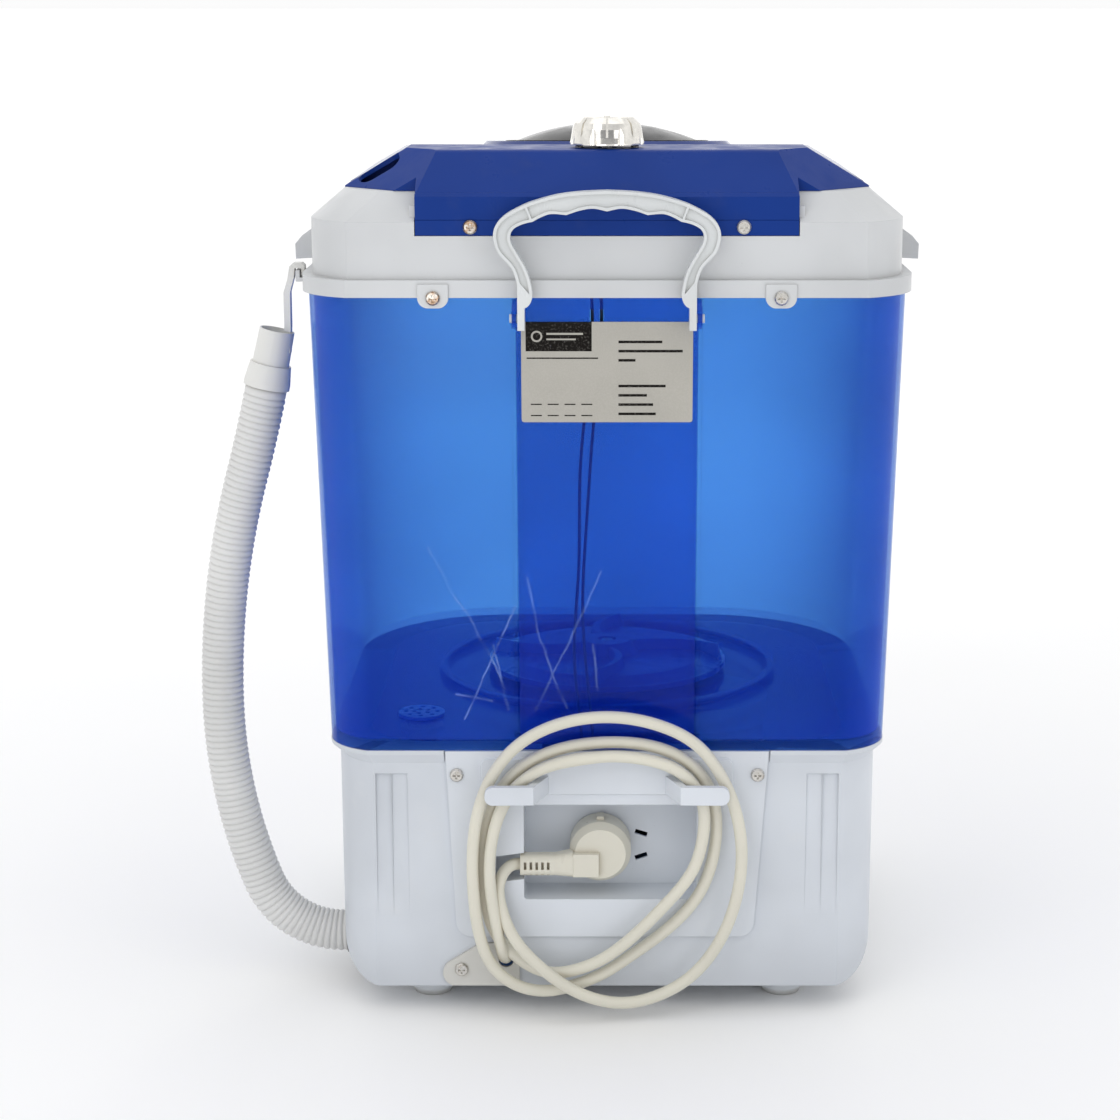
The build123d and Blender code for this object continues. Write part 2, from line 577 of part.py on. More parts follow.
with BuildPart() as service_panel:
    prism(back(PANEL_Y), [(-94.5, 161.6), (94.5, 161.6), (86.5, 47.0), (-89.0, 47.0)], 2.3)
    fillet(service_panel.edges().filter_by(Axis.Y).group_by(Axis.Z)[0], 9)
    # raised band between and behind the hooks
    block(back(PANEL_Y + 2.2, 0, 146.6), 148, 22.6, 1.8, corner=5, taper=20)
    # plug pocket, sunk into the base
    block(back(PANEL_Y + 0.5, -2.0, 99.7), 106, 62.6, -27.5, corner=3)
    block(back(PANEL_Y + 4, -2.0, 99.7), 102, 58.6, -29.5, corner=2, mode=CUT)
    # hooks: slanted root and flat bar with a rounded tip
    for side in (-1, 1):
        prism(level(136.4),
              [(side * 33, PANEL_Y + 1), (side * 37.5, PANEL_Y + 1),
               (side * 45.6, PANEL_Y + 22.0), (side * HOOK_TIP_X, PANEL_Y + 22.6),
               (side * HOOK_TIP_X, PANEL_Y + 26.6), (side * 42.4, PANEL_Y + 26.0)], 10.8)
    tips = service_panel.edges().filter_by(Axis.Y).filter_by(
        lambda e: abs(abs(e.center().X) - HOOK_TIP_X) < 0.2 and e.center().Y > PANEL_Y + 20)
    fillet(tips, 4.6)
    # two slanted slots in the pocket floor
    for z, slant in ((102.2, 18), (87.6, -18)):
        with BuildSketch(back(PANEL_Y - 24)):
            with Locations((20.4, z)):
                Rectangle(7.6, 2.8, rotation=-slant)
        extrude(amount=6, both=True, mode=CUT)
    # holes that take the plug's pins
    for dz in PIN_DZ:
        hole(back(PANEL_Y - 26, PLUG_X, PLUG_Z + dz), 2.7, 6)
    # closed trough where the cord leaves the pocket, on the +X side
    block(back(PANEL_Y - 16, 58.4, 90.4), 18.8, 23.6, 16.1)
    prism(back(PANEL_Y - 14), [(-45.5, 83.4), (-65.6, 81.0), (-65.6, 97.0), (-45.5, 99.8)], 22,
          mode=CUT)
    # small slanted slot beside the -X hook
    with BuildSketch(back(PANEL_Y)):
        with Locations((72.0, 142.6)):
            Rectangle(1.6, 5.2, rotation=25)
    extrude(amount=6, both=True, mode=CUT)
    for x, z in PANEL_SCREWS:
        hole(back(PANEL_Y, x, z), SCREW_HOLE_R, 5)
save(service_panel, "service_panel")

with BuildPart() as cord_clamp:
    with BuildSketch(back(BASE_HY + 0.05)) as clamp:
        with BuildLine():
            Polyline((-52, 16.0), (-92, 16.0))
            ThreePointArc((-92, 16.0), (-97.4, 22.0), (-95.0, 30.0))
            Line((-95.0, 30.0), (-76, 42.0))
            Polyline((-76, 42.0), (-52, 44.0), (-52, 16.0))
        make_face()
    extrude(clamp.sketch, amount=2.2)
    hole(back(BASE_HY, *CLAMP_SCREW), SCREW_HOLE_R, 5)
    hole(back(BASE_HY, *CORD_ENTRY), CORD_R + 0.9, 5)
save(cord_clamp, "cord_clamp")

# ---- mains cord and plug ------------------------------------------------
# x, y, z from the plug, in loops round the hooks, to the entry in the base
CORD = [
    (51.4, 162.0, 91.4), (55.0, 163.0, 91.3), (60.0, 167.2, 89.0), (63.4, 171.4, 82.0),
    (62.0, 174.5, 68.0), (55.0, 180.0, 52.5), (41.0, 185.2, 37.5), (26.0, 185.6, 25.2),
    (8.0, 183.6, 15.4), (-12.4, 180.0, 11.3), (-30.0, 178.4, 15.1), (-47.5, 178.2, 25.4),
    (-66.6, 178.2, 50.0), (-76.0, 178.3, 77.0), (-78.4, 178.4, 107.4), (-74.6, 178.5, 130.0),
    (-66.0, 178.5, 151.0), (-51.9, 178.6, 169.4), (-29.3, 178.6, 181.5), (-0.6, 178.6, 186.3),
    (27.6, 178.6, 182.1), (52.6, 178.6, 168.4), (67.0, 178.6, 150.0), (75.4, 178.6, 127.0),
    (78.4, 178.6, 103.0), (78.0, 178.6, 77.0), (74.0, 178.0, 49.0), (66.6, 177.0, 32.0),
    (51.0, 175.4, 19.4), (35.0, 174.6, 16.6), (18.6, 174.0, 20.2), (5.0, 173.0, 25.4),
    (-12.4, 172.0, 36.4), (-36.4, 171.4, 54.9), (-54.6, 171.4, 77.0), (-63.4, 171.4, 107.4),
    (-62.4, 171.4, 132.0), (-51.6, 171.4, 153.0), (-29.3, 171.4, 165.8), (-0.8, 171.4, 169.0),
    (27.7, 171.4, 164.9), (50.7, 171.4, 153.1), (66.0, 171.4, 132.0), (73.2, 171.4, 104.0),
    (72.6, 171.4, 77.0), (66.0, 171.4, 52.0), (53.0, 172.0, 36.6), (35.5, 174.6, 28.4),
    (20.0, 177.0, 30.4), (5.0, 178.4, 36.8), (-17.6, 178.5, 54.4), (-36.0, 178.5, 74.0),
    (-49.4, 178.5, 92.0), (-55.8, 178.5, 113.5), (-54.8, 178.5, 136.0), (-43.6, 178.5, 152.0),
    (-22.0, 178.5, 160.8), (-0.8, 178.5, 162.6), (22.0, 178.5, 159.4), (45.2, 178.5, 151.2),
    (58.6, 178.5, 135.0), (67.2, 178.5, 112.0), (68.6, 178.5, 90.0), (66.4, 177.4, 66.0),
    (62.4, 175.6, 45.0), (60.2, 171.6, 34.2), (60.0, 166.4, 32.1), (60.0, 161.0, 32.0),
    (60.0, 154.0, 32.0),
]
with BuildPart() as power_cord:
    cable(CORD, CORD_R)
save(power_cord, "power_cord")

PLUG_R = 18.2
RELIEF = (12.0, 13.0, 4.5)            # strain relief section: depth, height, corner radius
RELIEF_START = side_on(PLUG_X + 26.5, 162.0, 91.5)
with BuildPart() as plug_body:
    # round face disc with a tapered back
    disc(back(PLUG_Y0, PLUG_X, PLUG_Z), PLUG_R, 17)
    disc(back(PLUG_Y0 + 17, PLUG_X, PLUG_Z), PLUG_R, 5.5, taper=30)
    # square finger block on the back, neck and strain relief towards +X
    block(back(PLUG_Y0 + 4, PLUG_X + 8.5, 91.6), 18.4, 17.2, 22.5, taper=4)
    with BuildSketch(side_on(PLUG_X + 16, 160.2, 91.6)):
        RectangleRounded(13.5, 15.5, 4)
    with BuildSketch(RELIEF_START):
        RectangleRounded(*RELIEF)
    loft()
    block(RELIEF_START, RELIEF[0], RELIEF[1], 20.7, corner=RELIEF[2])
    # top key bump
    block(level(PLUG_Z + 18, PLUG_X, PLUG_Y0 + 9), 4.2, 8, 2.2)
    # flex slots in the strain relief
    for i in range(5):
        for z, tall in ((89.6, 4.6), (83.2, 3.4)):
            block(level(z, PLUG_X + 30.6 + 3.4 * i, 167.2), 1.5, 4.6, tall, mode=CUT)
    # bore that takes the cord
    disc(side_on(52.4, 162.0, 91.4), CORD_R + 0.5, -1.6, mode=CUT)
save(plug_body, "plug_body")

with BuildPart() as plug_pins:
    for dz in PIN_DZ:
        disc(back(PLUG_Y0 - 0.02, PLUG_X, PLUG_Z + dz), 2.4, -19)
save(plug_pins, "plug_pins")

# ---- screws that hold the casing ----------------------------------------
with BuildPart() as service_panel_screws:
    for x, z in PANEL_SCREWS:
        pan_screw(back(PANEL_Y + 2.32, x, z), 11)
save(service_panel_screws, "service_panel_screws")

with BuildPart() as clamp_screw:
    pan_screw(back(BASE_HY + 2.27, *CLAMP_SCREW), 11)
save(clamp_screw, "clamp_screw")

with BuildPart() as cover_screws:
    for x in COVER_SCREWS_X:
        pan_screw(back(FRAME_HY + 0.02, x, COVER_SCREWS_Z), 12)
save(cover_screws, "cover_screws")

with BuildPart() as rim_screws:
    for x in RIM_SCREWS_X:
        pan_screw(back(TUB_HY1 + 0.45 + 6.62, x, RIM_SCREWS_Z), 12)
save(rim_screws, "rim_screws")

with BuildPart() as base_plate_screws:
    for x, y in PLATE_SCREWS:
        pan_screw(Plane(origin=(x, y, BASE_Z0 - 0.02), z_dir=(0, 0, -1)), 8)
save(base_plate_screws, "base_plate_screws")

# ---- drain --------------------------------------------------------------
BEND_R = 30.0                         # quarter bend from down to +X
BEND_TOP = level(HOSE_Z + BEND_R, DRAIN_X, HOSE_Y)
BEND_END_X = DRAIN_X + BEND_R
with BuildPart() as drain_elbow:
    # outside first, then the bore
    for radius, mode in ((8.9, Mode.ADD), (7.0, CUT)):
        disc(BEND_TOP, radius, TUB_Z0 + 5.9 - HOSE_Z - BEND_R, mode=mode)
        with BuildSketch(BEND_TOP):
            Circle(radius)
        revolve(axis=Axis((BEND_END_X, HOSE_Y, HOSE_Z + BEND_R), (0, -1, 0)),
                revolution_arc=90, mode=mode)
        disc(side_on(BEND_END_X, HOSE_Y, HOSE_Z), radius, 21, mode=mode)
        if mode == Mode.ADD:
            # flange under the tub floor and the spigot collar
            disc(level(TUB_Z0 - 0.05, DRAIN_X, HOSE_Y), 13, -3)
            disc(side_on(150, HOSE_Y, HOSE_Z), 9.8, 13)
save(drain_elbow, "drain_elbow")

with BuildPart() as drain_grommet:
    ring(side_on(147.5, HOSE_Y, HOSE_Z), 13.65, HOSE_R + 0.12, 11.6)
save(drain_grommet, "drain_grommet")

# x, z where the tangent arcs of the hose meet
HOSE = [(163.0, 30.0), (210.6, 62.8), (231.7, 177.0), (213.0, 315.0), (199.9, 368.0)]
with BuildPart() as drain_hose:
    with BuildLine() as hose_path:
        first = Line((150.0, HOSE_Y, HOSE_Z), (163.0, HOSE_Y, HOSE_Z))
        heading = first % 1
        for (start_x, start_z), (end_x, end_z) in zip(HOSE[:-1], HOSE[1:]):
            bend = TangentArc((start_x, HOSE_Y, start_z), (end_x, HOSE_Y, end_z),
                              tangent=heading)
            heading = bend % 1
    with BuildSketch(Plane(origin=hose_path.line @ 0, z_dir=(1, 0, 0))) as hose_section:
        Circle(HOSE_R)
        Circle(HOSE_BORE, mode=CUT)
    sweep(hose_section.sketch, path=hose_path.line)
save(drain_hose, "drain_hose")

# the cuff carries on in the direction in which the hose ends
CUFF = Plane(origin=(199.9, HOSE_Y, 368.05), x_dir=(0, 1, 0), z_dir=(heading.X, 0.0, heading.Z))
CUFF_R = 13.6
# x, z of the strap from the cuff rim up to the hanger on the top frame
STRAP = [
    (184.9, 388.0), (184.1, 404), (184.0, 423.6), (181.6, 432.2), (181.0, 437.7), (177.2, 437.7),
    (177.2, 433.4), (175.2, 433.4), (175.2, 439.2), (176.8, 440.8), (181.8, 440.8),
    (184.0, 438.8), (185.4, 431.5), (187.9, 423.6), (187.9, 404), (188.7, 394.0),
]
with BuildPart() as hose_cuff:
    # plug inside the hose, collar, and tapering spout
    disc(CUFF.offset(-12), 9.9, 13)
    disc(CUFF, CUFF_R, 3.0)
    disc(CUFF.offset(3.0), CUFF_R, 11.0, taper=8)
    disc(CUFF.offset(13.9), 10.8, 20.4, taper=1.5)
    prism(front(HOSE_Y - 4), STRAP, -8)
    # stepped bore
    disc(CUFF.offset(-13), 7.6, 24, mode=CUT)
    disc(CUFF.offset(11.0), 9.3, 23.6, mode=CUT)
save(hose_cuff, "hose_cuff")

# ---- drive --------------------------------------------------------------
with BuildPart() as bearing_housing:
    # flange under the tub and the barrel below it
    disc(level(TUB_Z0 - 5.05), 46, 5.0)
    disc(level(96), 17, 62)
    # four ribs
    for i in range(4):
        turn = math.pi / 2 * i
        prism(Plane(origin=(0, 0, 110), x_dir=(math.cos(turn), math.sin(turn), 0),
                    z_dir=(-math.sin(turn), math.cos(turn), 0)),
              [(14, 0), (18, 0), (42, 48), (14, 48)], 1.5, both=True)
    # shaft clearance, bush seats, seal seat and screw holes
    disc(level(95), SHAFT_R + 1.0, 70, mode=CUT)
    for z in (95.0, 137.0):
        disc(level(z), 9.5, 15, mode=CUT)
    disc(level(152), 13.0, 12, mode=CUT)
    for x, y in BEARING_SCREWS:
        hole(level(TUB_Z0 - 3, x, y), SCREW_HOLE_R, 4)
save(bearing_housing, "bearing_housing")

with BuildPart() as shaft_bushes:
    for z in (96.0, 137.5):
        ring(level(z), 9.48, SHAFT_R + RUN, 14)
save(shaft_bushes, "shaft_bushes")

with BuildPart() as shaft_seal:
    ring(level(152.2), 12.95, SHAFT_R + 0.1, 9)
    ring(level(154), 11.2, 8.6, 8, mode=CUT)
save(shaft_seal, "shaft_seal")

with BuildPart() as bearing_screws:
    for x, y in BEARING_SCREWS:
        pan_screw(Plane(origin=(x, y, TUB_Z0 - 5.07), z_dir=(0, 0, -1)), 9)
save(bearing_screws, "bearing_screws")

with BuildPart() as drive_shaft:
    disc(level(30), SHAFT_R, 150)
    # hole for the pulsator screw
    disc(level(186), 1.66, -14, mode=CUT)
    chamfer(drive_shaft.edges().filter_by(GeomType.CIRCLE).sort_by(Axis.Z)[0], 0.8)
save(drive_shaft, "drive_shaft")

PULLEY_TALL = PULLEY_Z1 - PULLEY_Z0
PULLEY_FLANGE = 2.0
with BuildPart() as driven_pulley:
    disc(level(PULLEY_Z0), BIG_PULLEY_R, PULLEY_TALL)
    ring(level(PULLEY_Z0 + PULLEY_FLANGE), BIG_PULLEY_R + 1, BIG_PULLEY_R - 4,
         PULLEY_TALL - 2 * PULLEY_FLANGE, mode=CUT)
    # open web that leaves a hub and five spokes
    with BuildSketch(level(PULLEY_Z0)):
        Circle(BIG_PULLEY_R - 9)
        Circle(14, mode=CUT)
        with PolarLocations(0, 5):
            with Locations((30, 0)):
                Rectangle(44, 9, mode=CUT)
    extrude(amount=PULLEY_TALL, mode=CUT)
    disc(level(PULLEY_Z0 - 1), SHAFT_R + PRESS, 20, mode=CUT)
save(driven_pulley, "driven_pulley")

with BuildPart() as pulsator:
    # plate, shallow cone and hub
    disc(level(172.0), 76, 3.4)
    disc(level(175.2), 74, 4.0, taper=70)
    disc(level(175), 23, 12, taper=32)
    # curved vanes
    for i in range(4):
        with BuildSketch(Plane.XY.offset(174.5).rotated((0, 0, 90 * i))):
            with BuildLine():
                ThreePointArc((12, -4), (42, 2), (71, -12))
                ThreePointArc((71, -12), (74, -6), (70, -3))
                ThreePointArc((70, -3), (42, 12), (12, 4))
                Line((12, 4), (12, -4))
            make_face()
        extrude(amount=11, taper=14)
    # shaft socket, screw hole and screw head seat
    disc(level(171), SHAFT_R + PRESS, 9.05, mode=CUT)
    disc(level(171), SCREW_HOLE_R, 20, mode=CUT)
    disc(level(184.5), 6.0, 6, mode=CUT)
save(pulsator, "pulsator")

with BuildPart() as pulsator_screw:
    pan_screw(level(184.52), 12, head=4.2, shank=1.6)
save(pulsator_screw, "pulsator_screw")


def motor_level(z):
    """Horizontal plane centred on the motor axis."""
    return level(z, MOTOR_X, MOTOR_Y)


PACK_Z, PACK_TALL = MOTOR_Z0 + 16, 38     # stator and rotor packs
with BuildPart() as motor_stator:
    ring(motor_level(PACK_Z), 44, 24.5, PACK_TALL)
    # end windings are one body with the stator pack
    for z in (MOTOR_Z0 + 6, MOTOR_Z0 + 53):
        ring(motor_level(z), 38, 27, 11)
save(motor_stator, "motor_stator")

BELL_TALL = 15.95
UPPER_BELL_Z = MOTOR_Z1 - BELL_TALL
with BuildPart() as motor_end_bells:
    # cups open towards the stator: bottom of the cup, bottom of its cavity
    for bell_z, cavity_z in ((MOTOR_Z0, MOTOR_Z0 + 3), (UPPER_BELL_Z, UPPER_BELL_Z - 1)):
        disc(motor_level(bell_z), 46, BELL_TALL)
        disc(motor_level(cavity_z), 42.5, BELL_TALL - 2, mode=CUT)
    # bearing bosses and the shaft bore
    disc(motor_level(MOTOR_Z0 - 8), 11, 10)
    disc(motor_level(MOTOR_Z1 - 1), 11, 7)
    disc(motor_level(MOTOR_Z0 - 10), MOTOR_SHAFT_R + RUN, 84, mode=CUT)
    # mounting lugs on the lower bell
    for i, (x, y) in enumerate(MOTOR_MOUNTS):
        turn = math.radians(45 + 90 * i)
        with BuildSketch(Plane(origin=(MOTOR_X, MOTOR_Y, MOTOR_Z0),
                               x_dir=(math.cos(turn), math.sin(turn), 0),
                               z_dir=(0, 0, 1))) as lug:
            with Locations((50, 0)):
                SlotOverall(26, 14)
        extrude(lug.sketch, amount=3.0)
        hole(level(MOTOR_Z0, x, y), 2.2, 5)
save(motor_end_bells, "motor_end_bells")

with BuildPart() as motor_mount_grommets:
    for x, y in MOTOR_MOUNTS:
        ring(level(MOTOR_Z0 - 6.02, x, y), 6.5, 2.2, 6.0)
save(motor_mount_grommets, "motor_mount_grommets")

BRACKET_Z = MOTOR_Z0 - 8.5
BRACKET_LEGS = [(-92, MOTOR_Y - 47), (-92, MOTOR_Y + 47), (MOTOR_X + 49, MOTOR_Y - 47)]
with BuildPart() as motor_bracket:
    # plate on three legs standing on the base plate
    with BuildSketch(motor_level(BRACKET_Z)):
        RectangleRounded(104, 104, 8)
        Circle(15, mode=CUT)
    extrude(amount=2.46)
    for x, y in MOTOR_MOUNTS:
        hole(level(MOTOR_Z0 - 8, x, y), SCREW_HOLE_R, 5)
    for x, y in BRACKET_LEGS:
        block(level(PLATE_Z + 2.45, x, y), 4, 8, BRACKET_Z - PLATE_Z - 2.44)
save(motor_bracket, "motor_bracket")

with BuildPart() as motor_screws:
    for x, y in MOTOR_MOUNTS:
        pan_screw(level(MOTOR_Z0 + 3.02, x, y), 12)
save(motor_screws, "motor_screws")

with BuildPart() as motor_rotor:
    ring(motor_level(PACK_Z), 24.0, MOTOR_SHAFT_R + PRESS, PACK_TALL)
save(motor_rotor, "motor_rotor")

with BuildPart() as motor_shaft:
    disc(motor_level(PULLEY_Z0 - 2), MOTOR_SHAFT_R, MOTOR_Z1 + 4 - PULLEY_Z0)
save(motor_shaft, "motor_shaft")

with BuildPart() as motor_pulley:
    disc(motor_level(PULLEY_Z0), SMALL_PULLEY_R, PULLEY_TALL)
    ring(motor_level(PULLEY_Z0 + PULLEY_FLANGE), SMALL_PULLEY_R + 1, SMALL_PULLEY_R - 3,
         PULLEY_TALL - 2 * PULLEY_FLANGE, mode=CUT)
    disc(motor_level(PULLEY_Z0 - 1), MOTOR_SHAFT_R + PRESS, 14, mode=CUT)
save(motor_pulley, "motor_pulley")

# inner radii of the belt round the two pulleys, and its thickness
BELT_BIG_R, BELT_SMALL_R, BELT_THICK = BIG_PULLEY_R - 3.8, SMALL_PULLEY_R - 2.8, 3.4
with BuildPart() as drive_belt:
    # tangent points lie at this angle on both sides of the line between the axes
    spread = math.acos((BELT_BIG_R - BELT_SMALL_R) / math.hypot(MOTOR_X, MOTOR_Y))
    bearing = math.atan2(MOTOR_Y, MOTOR_X)
    for grow, z, tall, mode in ((BELT_THICK, PULLEY_Z0 + 2.6, 6.8, Mode.ADD),
                                (0.0, PULLEY_Z0 + 2, 9, CUT)):
        big, small = BELT_BIG_R + grow, BELT_SMALL_R + grow
        left, right = bearing + spread, bearing - spread
        with BuildSketch(level(z)) as belt:
            Circle(big)
            with Locations((MOTOR_X, MOTOR_Y)):
                Circle(small)
            with BuildLine():
                Polyline((big * math.cos(left), big * math.sin(left)),
                         (MOTOR_X + small * math.cos(left), MOTOR_Y + small * math.sin(left)),
                         (MOTOR_X + small * math.cos(right), MOTOR_Y + small * math.sin(right)),
                         (big * math.cos(right), big * math.sin(right)), close=True)
            make_face()
        extrude(belt.sketch, amount=tall, mode=mode)
save(drive_belt, "drive_belt")

CAP_X, CAP_Y, CAP_R = 60, -84, 17
with BuildPart() as run_capacitor:
    disc(level(PLATE_Z + 2.45 + 4, CAP_X, CAP_Y), CAP_R, 56)
    fillet(run_capacitor.edges().filter_by(GeomType.CIRCLE).sort_by(Axis.Z)[-1], 2.5)
    # spade terminals
    with BuildSketch(level(79)):
        with Locations((CAP_X - 5, CAP_Y), (CAP_X + 5, CAP_Y)):
            Rectangle(0.9, 6)
    extrude(amount=9)
save(run_capacitor, "run_capacitor")

with BuildPart() as capacitor_clip:
    block(level(PLATE_Z + 2.42, CAP_X, CAP_Y), 38, 44, 4, corner=4)
    ring(level(PLATE_Z + 6, CAP_X, CAP_Y), 18.6, CAP_R + 0.05, 20)
save(capacitor_clip, "capacitor_clip")

# ---- lid ----------------------------------------------------------------
def lid_z(y):
    """Height of the lid's flat top at depth y."""
    return LID_TOP - (LID_BACK - y) * math.tan(LID_TILT)


def lid_body(inset):
    """Lid body, shrunk by inset and open downwards for the inner core."""
    front_y = -DECK_HY + 0.4 + inset
    back_y = LID_BACK - inset
    bottom = DECK_Z + 0.3 - (4 if inset else 0)
    foot_x, top_x = SLOPE_HX - inset * 1.8, COVER_TOP_HX - inset * 0.6
    top = COVER_TOP - 1.2 - inset
    along = prism(Plane.YZ, [(back_y, bottom), (back_y, LID_TOP - inset),
                             (-128, lid_z(-128) - inset), (front_y, DECK_Z + 2.4),
                             (front_y, bottom)], 160, mode=Mode.PRIVATE, both=True)
    across = prism(Plane.XZ, [(-foot_x, DECK_Z - 6), (-foot_x, DECK_Z + 0.7), (-top_x, top),
                              (top_x, top), (foot_x, DECK_Z + 0.7), (foot_x, DECK_Z - 6)],
                   200, mode=Mode.PRIVATE, both=True)
    plan = slab(470, (DECK_HX + 0.6 - inset, DECK_HY - 0.4 - inset, 127 - inset, 40), 60,
                mode=Mode.PRIVATE)
    return along & across & plan


WINDOW_Y, WINDOW_R = -36.0, 64.0
LID_NORMAL = (0, -math.sin(LID_TILT), math.cos(LID_TILT))
WINDOW = Plane(origin=(0, WINDOW_Y, lid_z(WINDOW_Y)), x_dir=(1, 0, 0), z_dir=LID_NORMAL)
LID_KNUCKLE_X = 83                    # inboard of the cover's knuckles

with BuildPart() as lid:
    add(lid_body(0))
    # raised plateau round the window
    disc(WINDOW.offset(-1), 80, 4.0, taper=45)
    add(lid_body(2.5), mode=CUT)
    # window opening and the seat of its flange
    disc(WINDOW.offset(-10), WINDOW_R - 4, 20, mode=CUT)
    disc(WINDOW.offset(1.4), WINDOW_R + 0.25, 6, mode=CUT)
    # finger lip at the front edge
    block(level(DECK_Z + 0.3, 0, -DECK_HY - 1), 70, 12, 3, corner=4)
    # notches for the cover's knuckles, and the lid's own knuckles
    for side in (-1, 1):
        block(side_on(side * KNUCKLE_X - 6.5, LID_BACK, HINGE_Z), 9.4, 9.4, 13, mode=CUT)
        knuckle_start = side * LID_KNUCKLE_X - KNUCKLE_LONG / 2
        disc(side_on(knuckle_start, HINGE_Y, HINGE_Z), 1.45, KNUCKLE_LONG)
        prism(side_on(knuckle_start),
              [(HINGE_Y, HINGE_Z + 1.2), (LID_BACK - 6.5, HINGE_Z + 1.2),
               (LID_BACK - 6.5, HINGE_Z - 4), (HINGE_Y - 1.2, HINGE_Z - 4),
               (HINGE_Y + 0.8, HINGE_Z - 1.2)], KNUCKLE_LONG)
        hole(side_on(side * LID_KNUCKLE_X, HINGE_Y, HINGE_Z), HINGE_PIN_R + 0.01, 7)
save(lid, "lid")

DOME_R, DOME_RISE, DOME_WALL = 58.0, 11.5, 2.2
with BuildPart() as lid_window:
    # thin spherical cap, outside then inside, about one centre
    sphere_r = (DOME_R ** 2 + DOME_RISE ** 2) / (2 * DOME_RISE)
    centre_drop = sphere_r - DOME_RISE
    for radius, mode in ((sphere_r, Mode.ADD), (sphere_r - DOME_WALL, CUT)):
        with BuildSketch(Plane(origin=WINDOW.offset(2.9).origin, x_dir=(1, 0, 0),
                               z_dir=(0, -LID_NORMAL[2], LID_NORMAL[1]))) as cap:
            with BuildLine():
                height = radius - centre_drop
                half_angle = math.acos(centre_drop / radius)
                rim = radius * math.sin(half_angle)
                Line((0, 0), (0, height))
                ThreePointArc((0, height), (radius * math.sin(half_angle / 2),
                                            radius * math.cos(half_angle / 2) - centre_drop),
                              (rim, 0))
                Line((rim, 0), (0, 0))
            make_face()
        revolve(cap.sketch, axis=Axis(WINDOW.origin, LID_NORMAL), mode=mode)
    # flange seated in the plateau
    ring(WINDOW.offset(1.45), WINDOW_R, WINDOW_R - 9, 2.0)
save(lid_window, "lid_window")

with BuildPart() as lid_hinge_pins:
    for x in (-101.6, 77.4):
        disc(side_on(x, HINGE_Y, HINGE_Z), HINGE_PIN_R, 24.2)
save(lid_hinge_pins, "lid_hinge_pins")

# ---- timer knob ---------------------------------------------------------
# radius, z of the knob profile
KNOB_PROFILE = [(0, 508.9), (21.3, 508.9), (21.3, 509.8), (20.6, 513.0), (19.9, 517.6),
                (18.9, 521.0), (15.4, 524.2), (14.4, 524.6), (0, 524.6)]
# radius, z of the pointed notches at the crown
KNOB_NOTCH = [(14.8, 525.4), (23.0, 525.4), (23.0, 513.4), (20.4, 513.4), (18.0, 519.5)]
FLUTE_PITCH_R = 22.2

with BuildPart() as timer_knob:
    with BuildSketch(front(KNOB_Y)) as knob:
        with BuildLine():
            Polyline(*KNOB_PROFILE, close=True)
        make_face()
    revolve(knob.sketch, axis=Axis((0, KNOB_Y, 0), (0, 0, 1)))
    # flutes open at the foot, then the crown notches between them
    for i in range(8):
        turn = math.radians(22.5 + 45 * i)
        disc(level(508.0, FLUTE_PITCH_R * math.cos(turn),
                   KNOB_Y + FLUTE_PITCH_R * math.sin(turn)), 2.5, 12.8, mode=CUT)
    for i in range(8):
        turn = math.radians(45 * i)
        prism(Plane(origin=(0, KNOB_Y, 0), x_dir=(math.cos(turn), math.sin(turn), 0),
                    z_dir=(math.sin(turn), -math.cos(turn), 0)), KNOB_NOTCH, 0.6,
              mode=CUT, both=True)
    # pointer ridge
    with BuildSketch(level(524.2, 0, KNOB_Y)) as ridge:
        SlotOverall(27, 4.4, rotation=90)
    extrude(ridge.sketch, amount=1.2, taper=25)
    # shaft bore and hollow underside
    disc(level(507.5, 0, KNOB_Y), TIMER_SHAFT_R + PRESS, 12.5, mode=CUT)
    ring(level(508.5, 0, KNOB_Y), 18, 8, 7.0, mode=CUT)
save(timer_knob, "timer_knob")

with BuildPart() as timer_shaft:
    disc(level(480, 0, KNOB_Y), TIMER_SHAFT_R, 39.5)
save(timer_shaft, "timer_shaft")

# ---- carry handle -------------------------------------------------------
LEG_IN, LEG_OUT, LEG_FOOT = 45.6, 49.6, 410.8
# x, z of one half: outer edge from the leg up to the middle
OUTER = [(49.6, 436.5), (52.6, 445.2), (59.8, 453.4), (62.2, 460.0), (62.4, 465.0),
         (60.6, 469.6), (56.8, 473.6), (51.4, 477.0), (42.2, 481.2), (28.7, 485.0),
         (15.0, 486.9), (0, 487.6)]
# inner edge from the middle down to the leg
INNER = [(0, 476.4), (7.6, 477.9), (15.0, 476.8), (22.3, 474.4), (30.6, 475.0), (36.2, 473.2),
         (40.7, 470.8), (46.4, 469.4), (51.2, 466.8), (53.2, 463.0), (52.4, 458.6),
         (49.2, 453.0), (45.2, 446.0), (42.6, 439.0), (41.2, 431.4), (41.8, 427.2),
         (43.6, 424.4), (45.6, 423.2)]


def smooth(points, steps=6):
    """Points on a Catmull-Rom curve through points."""
    result = []
    for i in range(len(points) - 1):
        spans = list(zip(points[max(i - 1, 0)], points[i], points[i + 1],
                         points[min(i + 2, len(points) - 1)]))
        for j in range(steps):
            t = j / steps
            result.append(tuple(
                0.5 * (2 * start + (end - before) * t
                       + (2 * before - 5 * start + 4 * end - after) * t * t
                       + (3 * start - before - 3 * end + after) * t ** 3)
                for before, start, end, after in spans))
    return result + [points[-1]]


def mirrored(points):
    """Points on the other side of x = 0, in reverse order."""
    return [(-x, z) for x, z in reversed(points)]


